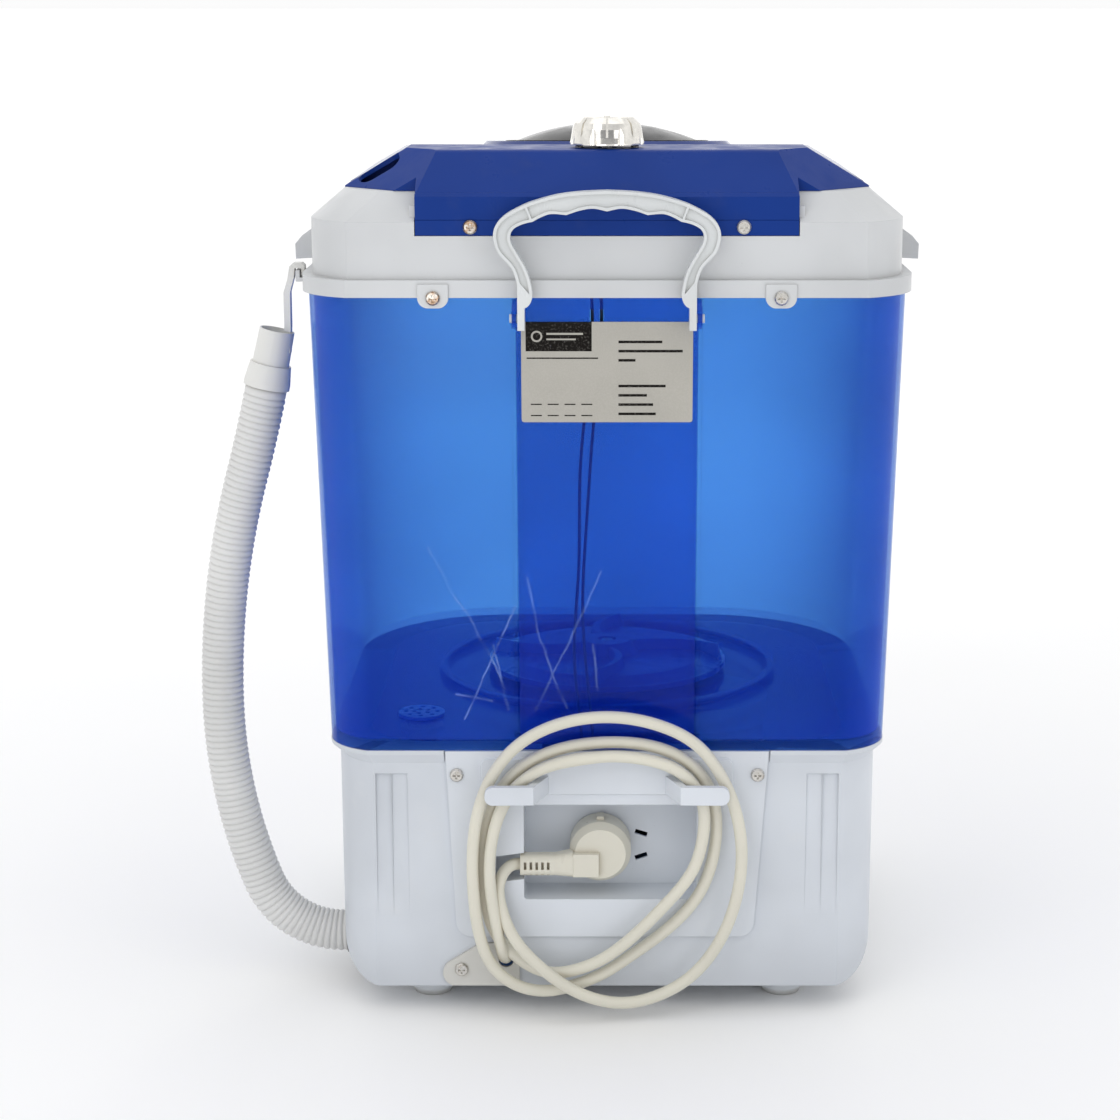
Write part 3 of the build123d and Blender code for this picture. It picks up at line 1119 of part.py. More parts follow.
def shifted(points, distance):
    """Points of an open curve moved distance to the left of its direction of travel."""
    result = []
    for i, (x, z) in enumerate(points):
        x0, z0 = points[max(i - 1, 0)]
        x1, z1 = points[min(i + 1, len(points) - 1)]
        length = math.hypot(x1 - x0, z1 - z0)
        result.append((x - (z1 - z0) / length * distance, z + (x1 - x0) / length * distance))
    return result


# whole outline; the inner edge has creases at its fourth and seventh points
outer_half = [(LEG_OUT, LEG_FOOT)] + smooth(OUTER)
inner_half = smooth(INNER[:4]) + smooth(INNER[3:7])[1:] + smooth(INNER[6:])[1:]
HANDLE_EDGE = (outer_half + mirrored(outer_half[:-1]) + [(-LEG_IN, LEG_FOOT)]
               + mirrored(inner_half) + inner_half[1:] + [(LEG_IN, LEG_FOOT)])

# sunk web on the rear face, inside a thin border, ending on the middle line
web_out = shifted(OUTER, 1.8)
web_in = shifted(INNER[:15], 1.7)
web_out[-1] = (0, web_out[-1][1])
web_in[0] = (0, web_in[0][1] + 0.2)
WEB_EDGE = smooth(web_out) + smooth(web_in)

with BuildPart() as carry_handle:
    prism(back(HANDLE_Y - 5.2), HANDLE_EDGE, 8.6)
    # border round the sunk web, and two cross ribs
    with BuildSketch(back(HANDLE_Y + 3.4)):
        with BuildLine():
            Polyline(*HANDLE_EDGE, close=True)
        make_face()
        for side in (-1, 1):
            with BuildLine(mode=Mode.PRIVATE) as web_line:
                Polyline(*[(side * x, z) for x, z in WEB_EDGE], close=True)
            make_face(web_line.edges(), mode=CUT)
        for side in (1, -1):
            with Locations((side * 43.4, 476)):
                Rectangle(1.3, 9.0, rotation=-22 * side)
    extrude(amount=1.8)
    # pivot stubs
    for side in (-1, 1):
        disc(Plane(origin=(side * 49.5, HANDLE_Y, HANDLE_Z), x_dir=(0, 1, 0),
                   z_dir=(side, 0, 0)), PIVOT_R, 4.6)
save(carry_handle, "carry_handle")
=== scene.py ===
"""Looks, stage and camera for a small portable washing machine with a clear blue tub.

The machine stands on z = 0, upright along +Z, with its rear face towards +Y and the camera.
Blender works in metres. Tables and sizes marked mm are converted where they are used.
"""
import math
from functools import cached_property, reduce

import bmesh
import bpy
import numpy as np
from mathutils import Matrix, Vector


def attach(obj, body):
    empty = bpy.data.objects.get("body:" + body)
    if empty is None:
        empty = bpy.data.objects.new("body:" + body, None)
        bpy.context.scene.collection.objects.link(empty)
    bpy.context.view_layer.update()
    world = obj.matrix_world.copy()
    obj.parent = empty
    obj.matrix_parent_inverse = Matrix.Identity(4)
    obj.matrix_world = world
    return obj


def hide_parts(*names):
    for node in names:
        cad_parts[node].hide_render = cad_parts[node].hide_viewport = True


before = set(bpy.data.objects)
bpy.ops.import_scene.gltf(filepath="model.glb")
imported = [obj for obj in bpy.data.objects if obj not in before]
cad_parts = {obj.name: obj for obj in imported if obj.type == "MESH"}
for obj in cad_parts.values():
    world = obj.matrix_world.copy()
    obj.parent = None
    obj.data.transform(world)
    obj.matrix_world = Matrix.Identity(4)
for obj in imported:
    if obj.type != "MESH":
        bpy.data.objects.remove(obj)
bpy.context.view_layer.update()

scene = bpy.context.scene
MM_PER_M = 1000


# ---------------------------------------------------------------- colours
def srgb(*channels):
    """Linear colour from 0-255 display values."""
    def linear(value):
        value /= 255
        return value / 12.92 if value <= 0.04045 else ((value + 0.055) / 1.055) ** 2.4
    return tuple(linear(channel) for channel in channels)


def scaled(colour, factor):
    return tuple(min(1.0, channel * factor) for channel in colour)


def multiplied(colour, tint):
    return tuple(a * b for a, b in zip(colour, tint))


# ---------------------------------------------------------------- node helpers
class Nodes:
    """A node tree built step by step; each method adds a node and returns its output."""

    def __init__(self, tree, coordinates):
        self.tree = tree
        tree.nodes.clear()
        self.place = self.add("TexCoord").outputs[coordinates]

    def add(self, kind):
        return self.tree.nodes.new("ShaderNode" + kind)

    def put(self, socket, value):
        """Link a socket, or set a number or an RGB colour."""
        if isinstance(value, bpy.types.NodeSocket):
            self.tree.links.new(value, socket)
        elif isinstance(value, tuple):
            socket.default_value = (*value, 1.0)
        else:
            socket.default_value = value

    @cached_property
    def xyz(self):
        node = self.add("SeparateXYZ")
        self.put(node.inputs[0], self.place)
        return node.outputs

    def math(self, operation, first, second=0.0, third=None, clamp=False):
        node = self.add("Math")
        node.operation = operation
        node.use_clamp = clamp
        self.put(node.inputs[0], first)
        self.put(node.inputs[1], second)
        if third is not None:
            self.put(node.inputs[2], third)
        return node.outputs[0]

    def union(self, masks):
        return reduce(lambda total, mask: self.math("MAXIMUM", total, mask), masks)

    def ramp(self, value, span, to=(0.0, 1.0), smooth=True):
        """Map the span of a value to another range, clamped at both ends."""
        node = self.add("MapRange")
        node.clamp = True
        node.interpolation_type = "SMOOTHSTEP" if smooth else "LINEAR"
        for i, limit in enumerate((*span, *to), start=1):
            node.inputs[i].default_value = limit
        self.put(node.inputs[0], value)
        return node.outputs[0]

    def mix(self, factor, first, second):
        """Blend from the first colour (factor 0) to the second (factor 1)."""
        node = self.add("Mix")
        node.data_type = "RGBA"
        self.put(node.inputs[0], factor)
        self.put(node.inputs[6], first)
        self.put(node.inputs[7], second)
        return node.outputs[2]


class Material(Nodes):
    """A material around one Principled shader, textured in object coordinates."""

    def __init__(self, name):
        self.data = bpy.data.materials.new(name)
        self.data.use_nodes = True
        super().__init__(self.data.node_tree, "Object")
        self.surface = self.add("OutputMaterial").inputs[0]
        self.shader = self.add("BsdfPrincipled")
        self.put(self.surface, self.shader.outputs[0])
        self.normal = None

    def set(self, name, value):
        self.put(self.shader.inputs[name], value)

    def noise(self, scale, detail=3, rough=0.5, stretch=(1, 1, 1), shift=(0, 0, 0)):
        mapping = self.add("Mapping")
        mapping.inputs["Scale"].default_value = stretch
        mapping.inputs["Location"].default_value = shift
        self.put(mapping.inputs[0], self.place)
        node = self.add("TexNoise")
        node.inputs["Scale"].default_value = scale
        node.inputs["Detail"].default_value = detail
        node.inputs["Roughness"].default_value = rough
        node.inputs["Distortion"].default_value = 0.0
        self.put(node.inputs["Vector"], mapping.outputs[0])
        return node.outputs[0]

    def occlusion(self, distance):
        node = self.add("AmbientOcclusion")
        node.samples = 6
        node.inputs["Distance"].default_value = distance
        return node.outputs["AO"]

    def facing(self, blend):
        node = self.add("LayerWeight")
        node.inputs["Blend"].default_value = blend
        return node.outputs["Facing"]

    def round_edges(self, radius):
        """Round sharp corners in the shading; comes before any bump."""
        node = self.add("Bevel")
        node.samples = 4
        node.inputs["Radius"].default_value = radius
        self.normal = node.outputs[0]

    def bump(self, height, strength, distance):
        """Add relief on top of the rounding and bumps so far."""
        node = self.add("Bump")
        node.inputs["Strength"].default_value = strength
        node.inputs["Distance"].default_value = distance
        self.put(node.inputs["Height"], height)
        if self.normal is not None:
            self.put(node.inputs["Normal"], self.normal)
        self.normal = node.outputs[0]
        self.set("Normal", self.normal)


# ---------------------------------------------------------------- material kinds
def moulded(name, colour, rough=0.34, grain=0.12, grain_scale=2600, vary=0.05,
            dirt_and_shade_tint=(0.62, 0.56, 0.46), grime_and_shade=0.22, edge=0.0004, coat=0.0,
            low_tint=None, low_top=0.0, specular=0.45, waviness=0.03):
    """Moulded plastic: grain, slow shade drift, painted shade and grime in crevices, uneven
    gloss.

    vary is the shade drift; dirt_and_shade_tint multiplies the colour, with weight
    grime_and_shade, in crevices found by occlusion: painted shade on light parts, dust on
    black ones. edge is the shaded corner radius, and low_tint fades in from height low_top
    down to the floor.
    """
    m = Material(name)
    drift = m.noise(scale=9)
    patches = m.noise(scale=42, detail=5, rough=0.62, shift=(3.1, 1.7, 0.4))
    shade = m.mix(m.ramp(drift, span=(0.32, 0.68)),
                  scaled(colour, 1 - 2.2 * vary), scaled(colour, 1 + 0.7 * vary))
    # faint patches lean towards the dirt tint at about the same brightness
    patch_colour = tuple(own * 0.8 + tint * 0.2 * sum(colour) / 1.6
                         for own, tint in zip(colour, dirt_and_shade_tint))
    shade = m.mix(m.ramp(patches, span=(0.56, 0.8), to=(0, 0.35)), shade, patch_colour)
    # painted shade: crevices found by ambient occlusion take the tint, darker on light parts
    # and lighter like dust on black ones
    grime_and_shade_mask = m.ramp(m.occlusion(distance=0.006), span=(0.35, 0.85), to=(grime_and_shade, 0.0))
    shade = m.mix(grime_and_shade_mask, shade, multiplied(colour, dirt_and_shade_tint))
    if low_tint:
        shade = m.mix(m.ramp(m.xyz[2], span=(0.0, low_top), to=(0.5, 0.0)), shade, low_tint)
    specks = m.noise(scale=620, detail=2, shift=(0.3, 5.0, 2.2))
    shade = m.mix(m.ramp(specks, span=(0.74, 0.79), to=(0, 0.22)), shade, scaled(colour, 0.55))
    m.set("Base Color", shade)
    smears = m.noise(scale=70, detail=4, rough=0.6, stretch=(1, 1, 0.35), shift=(9, 2, 1))
    m.set("Roughness", m.ramp(smears, span=(0.3, 0.75), to=(rough - 0.07, rough + 0.12)))
    m.set("Specular IOR Level", specular)
    m.set("Coat Weight", coat)
    m.set("Coat Roughness", 0.12)
    if edge:
        m.round_edges(edge)
    m.bump(m.noise(scale=26, detail=2, rough=0.4, shift=(1, 8, 4)),
           strength=waviness, distance=0.004)
    m.bump(m.noise(scale=grain_scale, detail=2), strength=grain, distance=0.00012)
    return m


# scratches on the rear face, each a chain of (x, z) points in mm
SCRATCHES = (
    ((102, 283.6), (89.6, 257.3), (79.2, 242.3), (67.6, 219.6), (59, 198.7)),
    ((52.6, 249.5), (83.2, 180.7)),
    ((45.3, 266.3), (39.9, 234.6), (31.2, 207.7), (23.1, 187.3)),
    ((2.9, 269.8), (41.6, 184.9)),
    ((8.7, 226.0), (5.2, 198.0)),
    ((66.0, 226.0), (57.0, 186.0)),
    ((88.0, 196.0), (66.0, 192.0)),
)
SCRATCH_HALF_WIDTH = 0.0011
SCRATCH_WAVER = 0.0036


def scratch_lines(m):
    """Mask of soft thin lines along SCRATCHES, slightly wavering in x."""
    x, _, z = m.xyz
    waver = m.noise(scale=70, detail=2, shift=(6, 1, 2))
    waver = m.math("MULTIPLY", m.math("SUBTRACT", waver, 0.5), SCRATCH_WAVER)
    x = m.math("ADD", x, waver)

    def line(start, end):
        (x0, z0), (x1, z1) = start, end
        run, rise = (x1 - x0) / MM_PER_M, (z1 - z0) / MM_PER_M
        length = math.hypot(run, rise)
        unit_x, unit_z = run / length, rise / length
        from_x = m.math("SUBTRACT", x, x0 / MM_PER_M)
        from_z = m.math("SUBTRACT", z, z0 / MM_PER_M)
        along = m.math("ADD", m.math("MULTIPLY", from_x, unit_x),
                       m.math("MULTIPLY", from_z, unit_z))
        across = m.math("ABSOLUTE", m.math("SUBTRACT", m.math("MULTIPLY", from_x, unit_z),
                                           m.math("MULTIPLY", from_z, unit_x)))
        inside = m.math("COMPARE", along, length / 2, length / 2)
        return m.math("MULTIPLY", inside,
                      m.ramp(across, span=(0.0, SCRATCH_HALF_WIDTH), to=(1.0, 0.0)))

    return m.union(line(start, end) for chain in SCRATCHES
                   for start, end in zip(chain[:-1], chain[1:]))


def tinted(name, tint, body, opaque, rough=0.09, scratches=0.0, coat=0.08, specular=0.3):
    """Clear coloured plastic with a glossy skin and fine scratches.

    tint colours what is seen through it; body is its own colour, which shows with weight
    opaque face on and more at grazing angles.
    """
    m = Material(name)
    drift = m.noise(scale=7, detail=2)
    own = m.mix(m.ramp(drift, span=(0.3, 0.7)), scaled(body, 0.85), scaled(body, 1.12))
    if scratches:
        marks = scratch_lines(m)
        rear = m.ramp(m.xyz[1], span=(0.150, 0.156))
        patchy = m.ramp(m.noise(scale=55, rough=0.6, shift=(5, 2, 8)),
                        span=(0.32, 0.6), to=(0.25, 1.0))
        marks = m.math("MULTIPLY", m.math("MULTIPLY", marks, rear),
                       m.math("MULTIPLY", patchy, scratches))
        own = m.mix(marks, own, (0.30, 0.42, 0.80))
    m.set("Base Color", own)
    m.set("Roughness", m.ramp(m.noise(scale=48, detail=4, rough=0.6),
                              span=(0.3, 0.75), to=(rough * 0.7, rough * 1.9)))
    m.set("Specular IOR Level", specular)
    m.set("Coat Weight", coat)
    m.set("Coat Roughness", 0.05)
    m.bump(m.noise(scale=18, detail=2, rough=0.4), strength=0.03, distance=0.006)
    m.bump(m.noise(scale=160, detail=2), strength=0.006, distance=0.0003)

    clear = m.add("BsdfTransparent")
    m.put(clear.inputs[0], m.mix(m.ramp(drift, span=(0.3, 0.7)),
                                 scaled(tint, 0.97), scaled(tint, 1.02)))
    weight = m.ramp(m.facing(blend=0.35), span=(0.0, 1.0),
                    to=(opaque, min(1.0, opaque + 0.55)), smooth=False)
    if scratches:
        weight = m.math("MAXIMUM", weight, m.math("MULTIPLY", marks, 0.55))
    mixer = m.add("MixShader")
    m.put(mixer.inputs[0], weight)
    m.put(mixer.inputs[1], clear.outputs[0])
    m.put(mixer.inputs[2], m.shader.outputs[0])
    m.put(m.surface, mixer.outputs[0])
    return m


def metal(name, colour, rough=0.22, stain=(0.28, 0.17, 0.09), stain_amount=0.15,
          brush=(1, 1, 1), brush_strength=0.05, rusted_side=False):
    """Plated or machined metal: brushing, patchy tarnish, uneven polish.

    brush stretches the noise; rusted_side adds rust towards +X.
    """
    m = Material(name)
    patches = m.noise(scale=180, detail=4, rough=0.65)
    shade = m.mix(m.ramp(patches, span=(0.3, 0.7)), scaled(colour, 0.82), colour)
    stains = m.noise(scale=420, rough=0.6, shift=(2, 7, 5))
    shade = m.mix(m.ramp(stains, span=(0.56, 0.74), to=(0, stain_amount)), shade, stain)
    if rusted_side:
        spots = m.ramp(m.noise(scale=300, rough=0.6, shift=(6, 1, 3)),
                       span=(0.38, 0.6), to=(0.1, 0.85))
        side = m.ramp(m.xyz[0], span=(0.0, 0.01))
        shade = m.mix(m.math("MULTIPLY", spots, side), shade, (0.36, 0.21, 0.11))
    m.set("Base Color", shade)
    m.set("Metallic", 1.0)
    m.set("Roughness", m.ramp(m.noise(scale=260, detail=4, rough=0.6, stretch=brush),
                              span=(0.3, 0.75), to=(rough * 0.75, rough * 1.6)))
    m.round_edges(0.0002)
    m.bump(m.noise(scale=1500, detail=2, stretch=brush),
           strength=brush_strength, distance=0.0001)
    return m


# ---------------------------------------------------------------- rating label
# printed areas in mm: x from, x to, z from, z to
LABEL_BLOCK = (8.6, 45.7, 396.9, 413.6)
LABEL_RULE = (5.0, 45.2, 392.6, 393.4)
BLOCK_RULES = ((13.5, 34.0, 406.2, 407.3), (17.5, 34.0, 403.2, 404.1))
# long bars all start at one x: middle z, end x
LONG_BAR_START, LONG_BAR_HALF_HEIGHT = -6.4, 0.75
LONG_BARS = ((402.2, -31.0), (397.0, -42.5), (391.8, -16.0), (377.2, -33.0),
             (371.9, -22.5), (366.6, -26.0), (361.3, -27.5))
# short bars: +X ends, length and z from, z to of the two rows
SHORT_BAR_ENDS, SHORT_BAR_LENGTH = (43.0, 33.5, 24.0, 14.5), 6.2
SHORT_BAR_ROWS = ((360.0, 360.7), (366.4, 367.1))
# ring in the block, in metres
RING_X, RING_Z = 0.0395, 0.4053
RING_RADIUS, RING_HALF_WIDTH = 0.0027, 0.0005


def label_material():
    """Paper-coloured film with bars, rules and a block that holds a ring."""
    m = Material("label_film")
    paper = srgb(176, 173, 165)
    x, _, z = m.xyz

    def rectangle(x0, x1, z0, z1):
        across = m.math("COMPARE", x, (x0 + x1) / 2 / MM_PER_M, abs(x1 - x0) / 2 / MM_PER_M)
        upright = m.math("COMPARE", z, (z0 + z1) / 2 / MM_PER_M, abs(z1 - z0) / 2 / MM_PER_M)
        return m.math("MULTIPLY", across, upright)

    shade = m.mix(m.ramp(m.noise(scale=30), span=(0.3, 0.7)), scaled(paper, 0.94), paper)
    fibres = m.ramp(m.noise(scale=1400, detail=2), span=(0.4, 0.62), to=(0, 0.07))
    shade = m.mix(fibres, shade, (0.75, 0.74, 0.71))

    printed = [LABEL_BLOCK, LABEL_RULE]
    printed += [(LONG_BAR_START, end, middle - LONG_BAR_HALF_HEIGHT,
                 middle + LONG_BAR_HALF_HEIGHT) for middle, end in LONG_BARS]
    printed += [(end - SHORT_BAR_LENGTH, end, *row)
                for end in SHORT_BAR_ENDS for row in SHORT_BAR_ROWS]
    ink = m.union(rectangle(*area) for area in printed)
    cover = m.ramp(m.noise(scale=900, detail=2, shift=(1, 1, 1)),
                   span=(0.2, 0.5), to=(0.82, 1.0))
    shade = m.mix(m.math("MULTIPLY", ink, cover), shade, srgb(16, 12, 9))

    # the ring and two rules show paper through the block
    ring_x = m.math("SUBTRACT", x, RING_X)
    ring_z = m.math("SUBTRACT", z, RING_Z)
    radius = m.math("SQRT", m.math("ADD", m.math("MULTIPLY", ring_x, ring_x),
                                   m.math("MULTIPLY", ring_z, ring_z)))
    ring = m.math("COMPARE", radius, RING_RADIUS, RING_HALF_WIDTH)
    rules = m.union(rectangle(*rule) for rule in BLOCK_RULES)
    m.set("Base Color", m.mix(m.math("MAXIMUM", ring, rules), shade, paper))
    m.set("Specular IOR Level", 0.12)
    m.set("Roughness", m.ramp(m.noise(scale=80, rough=0.6), span=(0.3, 0.7), to=(0.42, 0.6)))
    m.round_edges(0.0002)
    m.bump(m.noise(scale=20, detail=2), strength=0.05, distance=0.002)
    m.bump(ink, strength=0.15, distance=0.00008)
    return m


# ---------------------------------------------------------------- material settings
# crevice tints: painted shade on ivory parts, dust on black ones
IVORY_DIRT_AND_SHADE = (0.6, 0.5, 0.36)
BLACK_DIRT = (1.6, 1.5, 1.4)
BLUE_SHELL = dict(colour=srgb(22, 55, 132), grain_scale=1500, dirt_and_shade_tint=(0.6, 0.62, 0.7),
                  waviness=0.015)
SCREW = dict(colour=(0.66, 0.64, 0.60), rough=0.24, stain_amount=0.45)

MOULDED = {
    "white_abs": dict(colour=srgb(203, 205, 207), rough=0.36, waviness=0.02),
    "white_base": dict(colour=srgb(208, 213, 220), rough=0.38, grime_and_shade=0.10,
                       low_tint=srgb(184, 188, 194), low_top=0.05),
    # painted light: a brighter copy of the base white, offsetting the shade from the cord and
    # hooks
    "panel_white": dict(colour=srgb(214, 219, 226), rough=0.38, grime_and_shade=0.05),
    "handle_white": dict(colour=srgb(210, 213, 214), rough=0.30, grime_and_shade=0.2, waviness=0.02),
    "clamp_grey": dict(colour=srgb(206, 205, 200), rough=0.4, grime_and_shade=0.35),
    "cover_blue": dict(BLUE_SHELL, grain=0.05, grime_and_shade=0.2, specular=0.08),
    "lid_blue": dict(BLUE_SHELL, rough=0.16, grain=0.04, grime_and_shade=0.3, specular=0.5),
    "plug_ivory": dict(colour=srgb(213, 210, 197), dirt_and_shade_tint=IVORY_DIRT_AND_SHADE, grime_and_shade=0.45,
                       grain_scale=1800),
    "cord_ivory": dict(colour=srgb(216, 213, 199), rough=0.42, dirt_and_shade_tint=IVORY_DIRT_AND_SHADE, grime_and_shade=0.35,
                       grain=0.2, grain_scale=1400, edge=0),
    "hose_white": dict(colour=srgb(218, 218, 217), rough=0.45, dirt_and_shade_tint=(0.62, 0.6, 0.55),
                       grime_and_shade=0.4, grain=0.08, grain_scale=1600, edge=0),
    "cuff_white": dict(colour=srgb(222, 222, 219), rough=0.4, grime_and_shade=0.3),
    "foot_rubber": dict(colour=srgb(222, 226, 230), rough=0.55, grain=0.25,
                        grain_scale=1500, grime_and_shade=0.5, low_tint=srgb(150, 150, 148),
                        low_top=0.004),
    "rubber_black": dict(colour=(0.022, 0.022, 0.023), rough=0.6, grain=0.35,
                         grain_scale=1400, vary=0.12, dirt_and_shade_tint=BLACK_DIRT, grime_and_shade=0.4),
    "wire_black": dict(colour=(0.02, 0.025, 0.05), rough=0.4, grain=0.1, vary=0.1,
                       dirt_and_shade_tint=(1.5, 1.4, 1.2), grime_and_shade=0.2, edge=0),
    "pulley_black": dict(colour=(0.035, 0.036, 0.04), rough=0.45, vary=0.1,
                         dirt_and_shade_tint=BLACK_DIRT, grime_and_shade=0.4),
    "timer_grey": dict(colour=(0.11, 0.115, 0.12), rough=0.5, vary=0.08, grime_and_shade=0.3),
    "capacitor_white": dict(colour=(0.62, 0.62, 0.6), rough=0.35, grime_and_shade=0.4),
    "pulsator_blue": dict(colour=srgb(52, 96, 186), rough=0.3, dirt_and_shade_tint=(0.7, 0.7, 0.75),
                          grime_and_shade=0.3, coat=0.2),
}
TINTED = {
    "tub_blue": dict(tint=(0.57, 0.80, 0.995), body=srgb(14, 62, 202), opaque=0.16,
                     scratches=0.8),
    "duct_blue": dict(tint=(0.54, 0.755, 0.985), body=srgb(14, 54, 190), opaque=0.26,
                      rough=0.12, scratches=0.7),
    "smoked_window": dict(tint=(0.14, 0.145, 0.16), body=(0.008, 0.008, 0.009), opaque=0.80,
                          rough=0.16, coat=0.0, specular=0.18),
}
METAL = {
    "chrome_knob": dict(colour=(0.90, 0.875, 0.82), rough=0.13, stain=(0.32, 0.27, 0.2),
                        stain_amount=0.10, brush=(1, 1, 0.15), brush_strength=0.04),
    "screw_steel": SCREW,
    "screw_steel_rusted": dict(SCREW, rusted_side=True),
    "turned_steel": dict(colour=(0.58, 0.585, 0.59), rough=0.3, stain_amount=0.1,
                         brush=(1, 1, 6)),
    "nickel_pin": dict(colour=(0.72, 0.70, 0.66), rough=0.16, stain_amount=0.12),
    "cast_aluminium": dict(colour=(0.66, 0.67, 0.68), rough=0.42, stain=(0.35, 0.34, 0.33),
                           stain_amount=0.3, brush_strength=0.3),
    "varnished_iron": dict(colour=(0.22, 0.22, 0.23), rough=0.45, stain=(0.2, 0.09, 0.04),
                           stain_amount=0.4, brush=(1, 1, 12), brush_strength=0.35),
    "zinc_bracket": dict(colour=(0.42, 0.43, 0.45), rough=0.36, stain=(0.3, 0.28, 0.2),
                         stain_amount=0.3, brush_strength=0.1),
    "sintered_bronze": dict(colour=(0.62, 0.42, 0.2), rough=0.4, stain=(0.2, 0.12, 0.06),
                            stain_amount=0.4, brush_strength=0.3),
}
# CAD piece: material
FINISHES = {
    "base_shell": "white_base", "base_plate": "white_base", "feet": "foot_rubber",
    "tub": "tub_blue", "drain_strainer": "pulsator_blue", "rear_duct_cover": "duct_blue",
    "duct_wires": "wire_black", "rating_label": "label_film", "top_frame": "white_abs",
    "control_cover": "cover_blue", "water_inlet": "duct_blue", "timer_body": "timer_grey",
    "timer_screws": "screw_steel", "service_panel": "panel_white",
    "cord_clamp": "clamp_grey", "power_cord": "cord_ivory", "plug_body": "plug_ivory",
    "plug_pins": "nickel_pin", "service_panel_screws": "screw_steel",
    "clamp_screw": "screw_steel", "cover_screws": "screw_steel_rusted",
    "rim_screws": "screw_steel_rusted", "base_plate_screws": "screw_steel",
    "drain_elbow": "timer_grey", "drain_grommet": "rubber_black",
    "drain_hose": "hose_white", "hose_cuff": "cuff_white",
    "bearing_housing": "cast_aluminium", "shaft_bushes": "sintered_bronze",
    "shaft_seal": "rubber_black", "bearing_screws": "screw_steel",
    "drive_shaft": "turned_steel", "driven_pulley": "pulley_black",
    "pulsator": "pulsator_blue", "pulsator_screw": "screw_steel",
    "motor_stator": "varnished_iron", "motor_end_bells": "cast_aluminium",
    "motor_mount_grommets": "rubber_black", "motor_bracket": "zinc_bracket",
    "motor_screws": "screw_steel", "motor_rotor": "varnished_iron",
    "motor_shaft": "turned_steel", "motor_pulley": "pulley_black",
    "drive_belt": "rubber_black", "run_capacitor": "capacitor_white",
    "capacitor_clip": "timer_grey", "lid": "lid_blue", "lid_window": "smoked_window",
    "lid_hinge_pins": "turned_steel", "timer_knob": "chrome_knob",
    "timer_shaft": "turned_steel", "carry_handle": "handle_white",
}

materials = {}
for build, table in ((moulded, MOULDED), (tinted, TINTED), (metal, METAL)):
    for name, settings in table.items():
        materials[name] = build(name, **settings).data
materials["label_film"] = label_material().data

for piece, finish in FINISHES.items():
    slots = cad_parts[piece].data.materials
    slots.clear()
    slots.append(materials[finish])

# ---------------------------------------------------------------- drain hose, in mm
HOSE_Y = 110.0
STUB_START = np.array([150.0, 30.0])                # x, z
STUB_LENGTH = 13.0
# ends of the tangent arcs after the stub: x, z
ARC_ENDS = ((210.6, 62.8), (231.7, 177.0), (213.0, 315.0), (199.9, 368.0))
PATH_STEP = 0.4
RIB_PITCH, RIB_STEPS = 3.72, 8
PLAIN_START, PLAIN_END = 8.0, 2.0                   # unribbed lengths
START_RADIUS, SHOULDER_RADIUS, END_RADIUS = 12.45, 12.1, 12.2
VALLEY_RADIUS, RIB_HEIGHT = 11.35, 1.2
CREST_POWER = 0.62                                  # below 1: wide crests, narrow valleys
BORE_RADIUS, BORE_RINGS = 10.3, 90
HOSE_SIDES = 40


def hose_path():
    """Points and tangents of the centreline in x and z: a straight stub, then arcs."""
    tangent = np.array([1.0, 0.0])
    steps = int(STUB_LENGTH / PATH_STEP)
    path = [(STUB_START + tangent * (STUB_LENGTH * i / steps), tangent)
            for i in range(steps + 1)]
    for end in ARC_ENDS:
        start, tangent = path[-1]
        chord = np.array(end) - start
        left = np.array([-tangent[1], tangent[0]])
        radius = float(chord @ chord) / (2 * float(chord @ left))   # positive turns left
        centre = start + left * radius
        ratio = np.linalg.norm(chord) / 2 / abs(radius)
        sweep = math.copysign(2 * math.asin(min(1, ratio)), radius)
        steps = max(8, int(abs(radius * sweep) / PATH_STEP))
        for i in range(1, steps + 1):
            angle = sweep * i / steps
            cos, sin = math.cos(angle), math.sin(angle)
            turn = np.array([[cos, -sin], [sin, cos]])
            path.append((centre + turn @ (start - centre), turn @ tangent))
    return path


def hose_stations(total):
    """Outer profile as (distance along the hose, radius)."""
    ribs = int((total - PLAIN_START - PLAIN_END) / RIB_PITCH)
    stations = [(0.0, START_RADIUS), (PLAIN_START - 1.2, START_RADIUS),
                (PLAIN_START - 0.3, SHOULDER_RADIUS)]
    for rib in range(ribs):
        for step in range(RIB_STEPS):
            phase = step / RIB_STEPS
            crest = abs(math.sin(math.pi * phase)) ** CREST_POWER
            stations.append((PLAIN_START + (rib + phase) * RIB_PITCH,
                             VALLEY_RADIUS + RIB_HEIGHT * crest))
    tail = PLAIN_START + ribs * RIB_PITCH
    return stations + [(tail, VALLEY_RADIUS), (tail + 0.6, END_RADIUS), (total, END_RADIUS)]


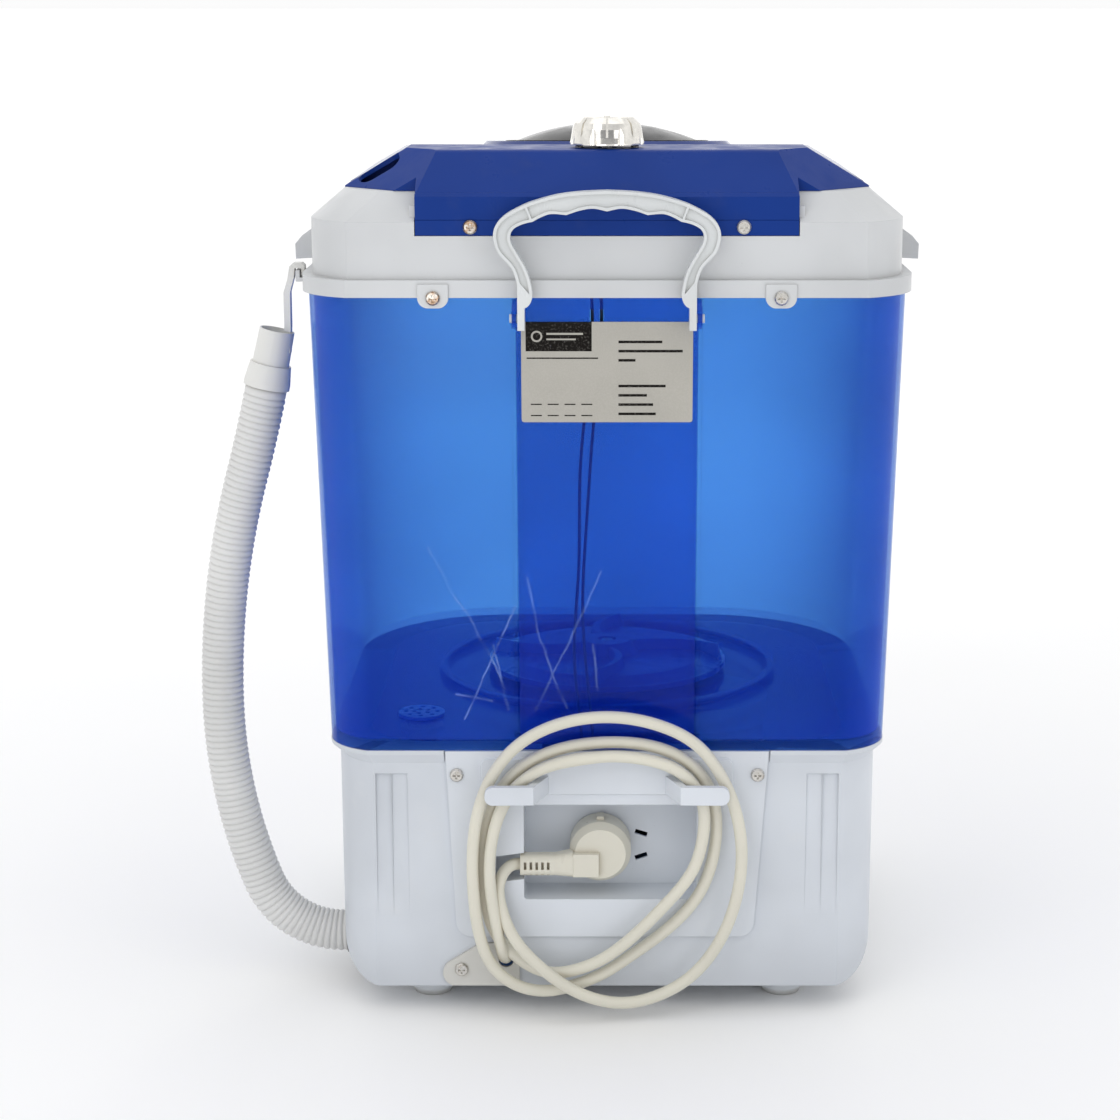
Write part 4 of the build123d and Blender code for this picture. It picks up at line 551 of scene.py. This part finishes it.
def corrugated_hose():
    points, tangents = (np.array(column) for column in zip(*hose_path()))
    steps = np.linalg.norm(np.diff(points, axis=0), axis=1)
    distances = np.concatenate(([0.0], np.cumsum(steps)))
    total = distances[-1]
    bm = bmesh.new()

    def ring(distance, radius):
        x, z = (np.interp(distance, distances, points[:, i]) for i in (0, 1))
        along_x, along_z = (np.interp(distance, distances, tangents[:, i]) for i in (0, 1))
        length = math.hypot(along_x, along_z)
        side = Vector((-along_z / length, 0, along_x / length))
        verts = []
        for i in range(HOSE_SIDES):
            angle = 2 * math.pi * i / HOSE_SIDES
            point = (Vector((x, HOSE_Y, z)) + side * (math.cos(angle) * radius)
                     + Vector((0, 1, 0)) * (math.sin(angle) * radius))
            verts.append(bm.verts.new(point / MM_PER_M))
        return verts

    def skin(rings, flip):
        for near, far in zip(rings[:-1], rings[1:]):
            for i in range(HOSE_SIDES):
                j = (i + 1) % HOSE_SIDES
                quad = (near[i], near[j], far[j], far[i])
                bm.faces.new(quad[::-1] if flip else quad)

    outer = [ring(*station) for station in hose_stations(total)]
    bore = [ring(distance, BORE_RADIUS) for distance in np.linspace(0.0, total, BORE_RINGS)]
    skin(outer, flip=False)
    skin(bore, flip=True)
    skin((outer[0], bore[0]), flip=True)
    skin((outer[-1], bore[-1]), flip=False)
    bmesh.ops.recalc_face_normals(bm, faces=bm.faces)
    mesh = bpy.data.meshes.new("drain_hose_rings")
    bm.to_mesh(mesh)
    bm.free()
    for polygon in mesh.polygons:
        polygon.use_smooth = True
    mesh.materials.append(materials["hose_white"])
    hose = bpy.data.objects.new("drain_hose_rings", mesh)
    scene.collection.objects.link(hose)
    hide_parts("drain_hose")
    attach(hose, "hose_assembly")


corrugated_hose()


# ---------------------------------------------------------------- stage
def floor_material():
    """Near-white floor that brightens to plain white away from the machine."""
    m = Material("stage_floor")
    m.set("Base Color", m.mix(m.ramp(m.noise(scale=3, rough=0.55), span=(0.3, 0.7)),
                              (0.945, 0.945, 0.945), (0.955, 0.955, 0.955)))
    m.set("Roughness", 0.7)
    x, y, _ = m.xyz
    reach = m.math("POWER", m.math("ADD", m.math("MULTIPLY", x, x),
                                   m.math("MULTIPLY", y, y)), 0.5)
    m.set("Emission Color", (1.0, 1.0, 1.0))
    m.set("Emission Strength", m.ramp(reach, span=(0.45, 2.2), to=(0.0, 0.16)))
    return m.data


def add_floor():
    # just below the feet, so that the surfaces do not coincide
    bpy.ops.mesh.primitive_plane_add(size=400, location=(0, 0, -0.0002))
    floor = bpy.context.object
    floor.name = "stage_floor"
    floor.data.materials.append(floor_material())


def add_world():
    """White room, darker behind the camera to give glossy parts something to reflect."""
    world = bpy.data.worlds.new("studio")
    scene.world = world
    world.use_nodes = True
    room = Nodes(world.node_tree, "Generated")
    _, y, z = room.xyz
    behind_camera = room.math("MULTIPLY", room.ramp(y, span=(0.35, 0.8)),
                              room.ramp(room.math("ABSOLUTE", z), span=(0.62, 0.30)),
                              clamp=True)
    background = room.add("Background")
    background.inputs["Strength"].default_value = 0.97
    room.put(background.inputs["Color"],
             room.mix(behind_camera, (1.0, 1.0, 1.0), (0.34, 0.345, 0.36)))
    room.put(room.add("OutputWorld").inputs[0], background.outputs[0])


# name, place, height of the target on the Z axis, width, height, watts
LIGHTS = (
    ("key", (1.1, 1.7, 1.5), 0.3, 1.0, 1.2, 5.0),
    ("fill", (-1.3, 1.9, 0.7), 0.2, 1.0, 1.0, 4.0),
    ("low_fill", (0.7, 2.1, 0.25), 0.1, 1.2, 0.5, 3.0),
    ("top", (0, -0.2, 1.9), 0.3, 1.4, 1.4, 2.0),
    ("behind", (0.2, -1.7, 1.2), 0.3, 1.6, 1.6, 2.5),
)


def add_lights():
    for name, place, target_z, width, height, watts in LIGHTS:
        light = bpy.data.lights.new(name, "AREA")
        light.energy = watts
        light.shape = "RECTANGLE"
        light.size = width
        light.size_y = height
        lamp = bpy.data.objects.new(name, light)
        lamp.location = place
        aim = Vector((0, 0, target_z)) - Vector(place)
        lamp.rotation_euler = aim.to_track_quat("-Z", "Y").to_euler()
        scene.collection.objects.link(lamp)


def add_camera():
    """Camera on the +Y side, looking along -Y and slightly down."""
    lens = bpy.data.cameras.new("camera")
    lens.lens = 79.7
    lens.sensor_width = 36
    lens.shift_x = -0.042
    lens.clip_start = 0.02
    camera = bpy.data.objects.new("camera", lens)
    camera.location = (0.0, 1.552, 0.5886)
    camera.rotation_euler = (math.radians(90 - 12.7), 0, math.radians(180))
    scene.collection.objects.link(camera)
    scene.camera = camera


add_floor()
add_world()
add_lights()
add_camera()
scene.view_settings.view_transform = "Standard"
scene.view_settings.look = "None"
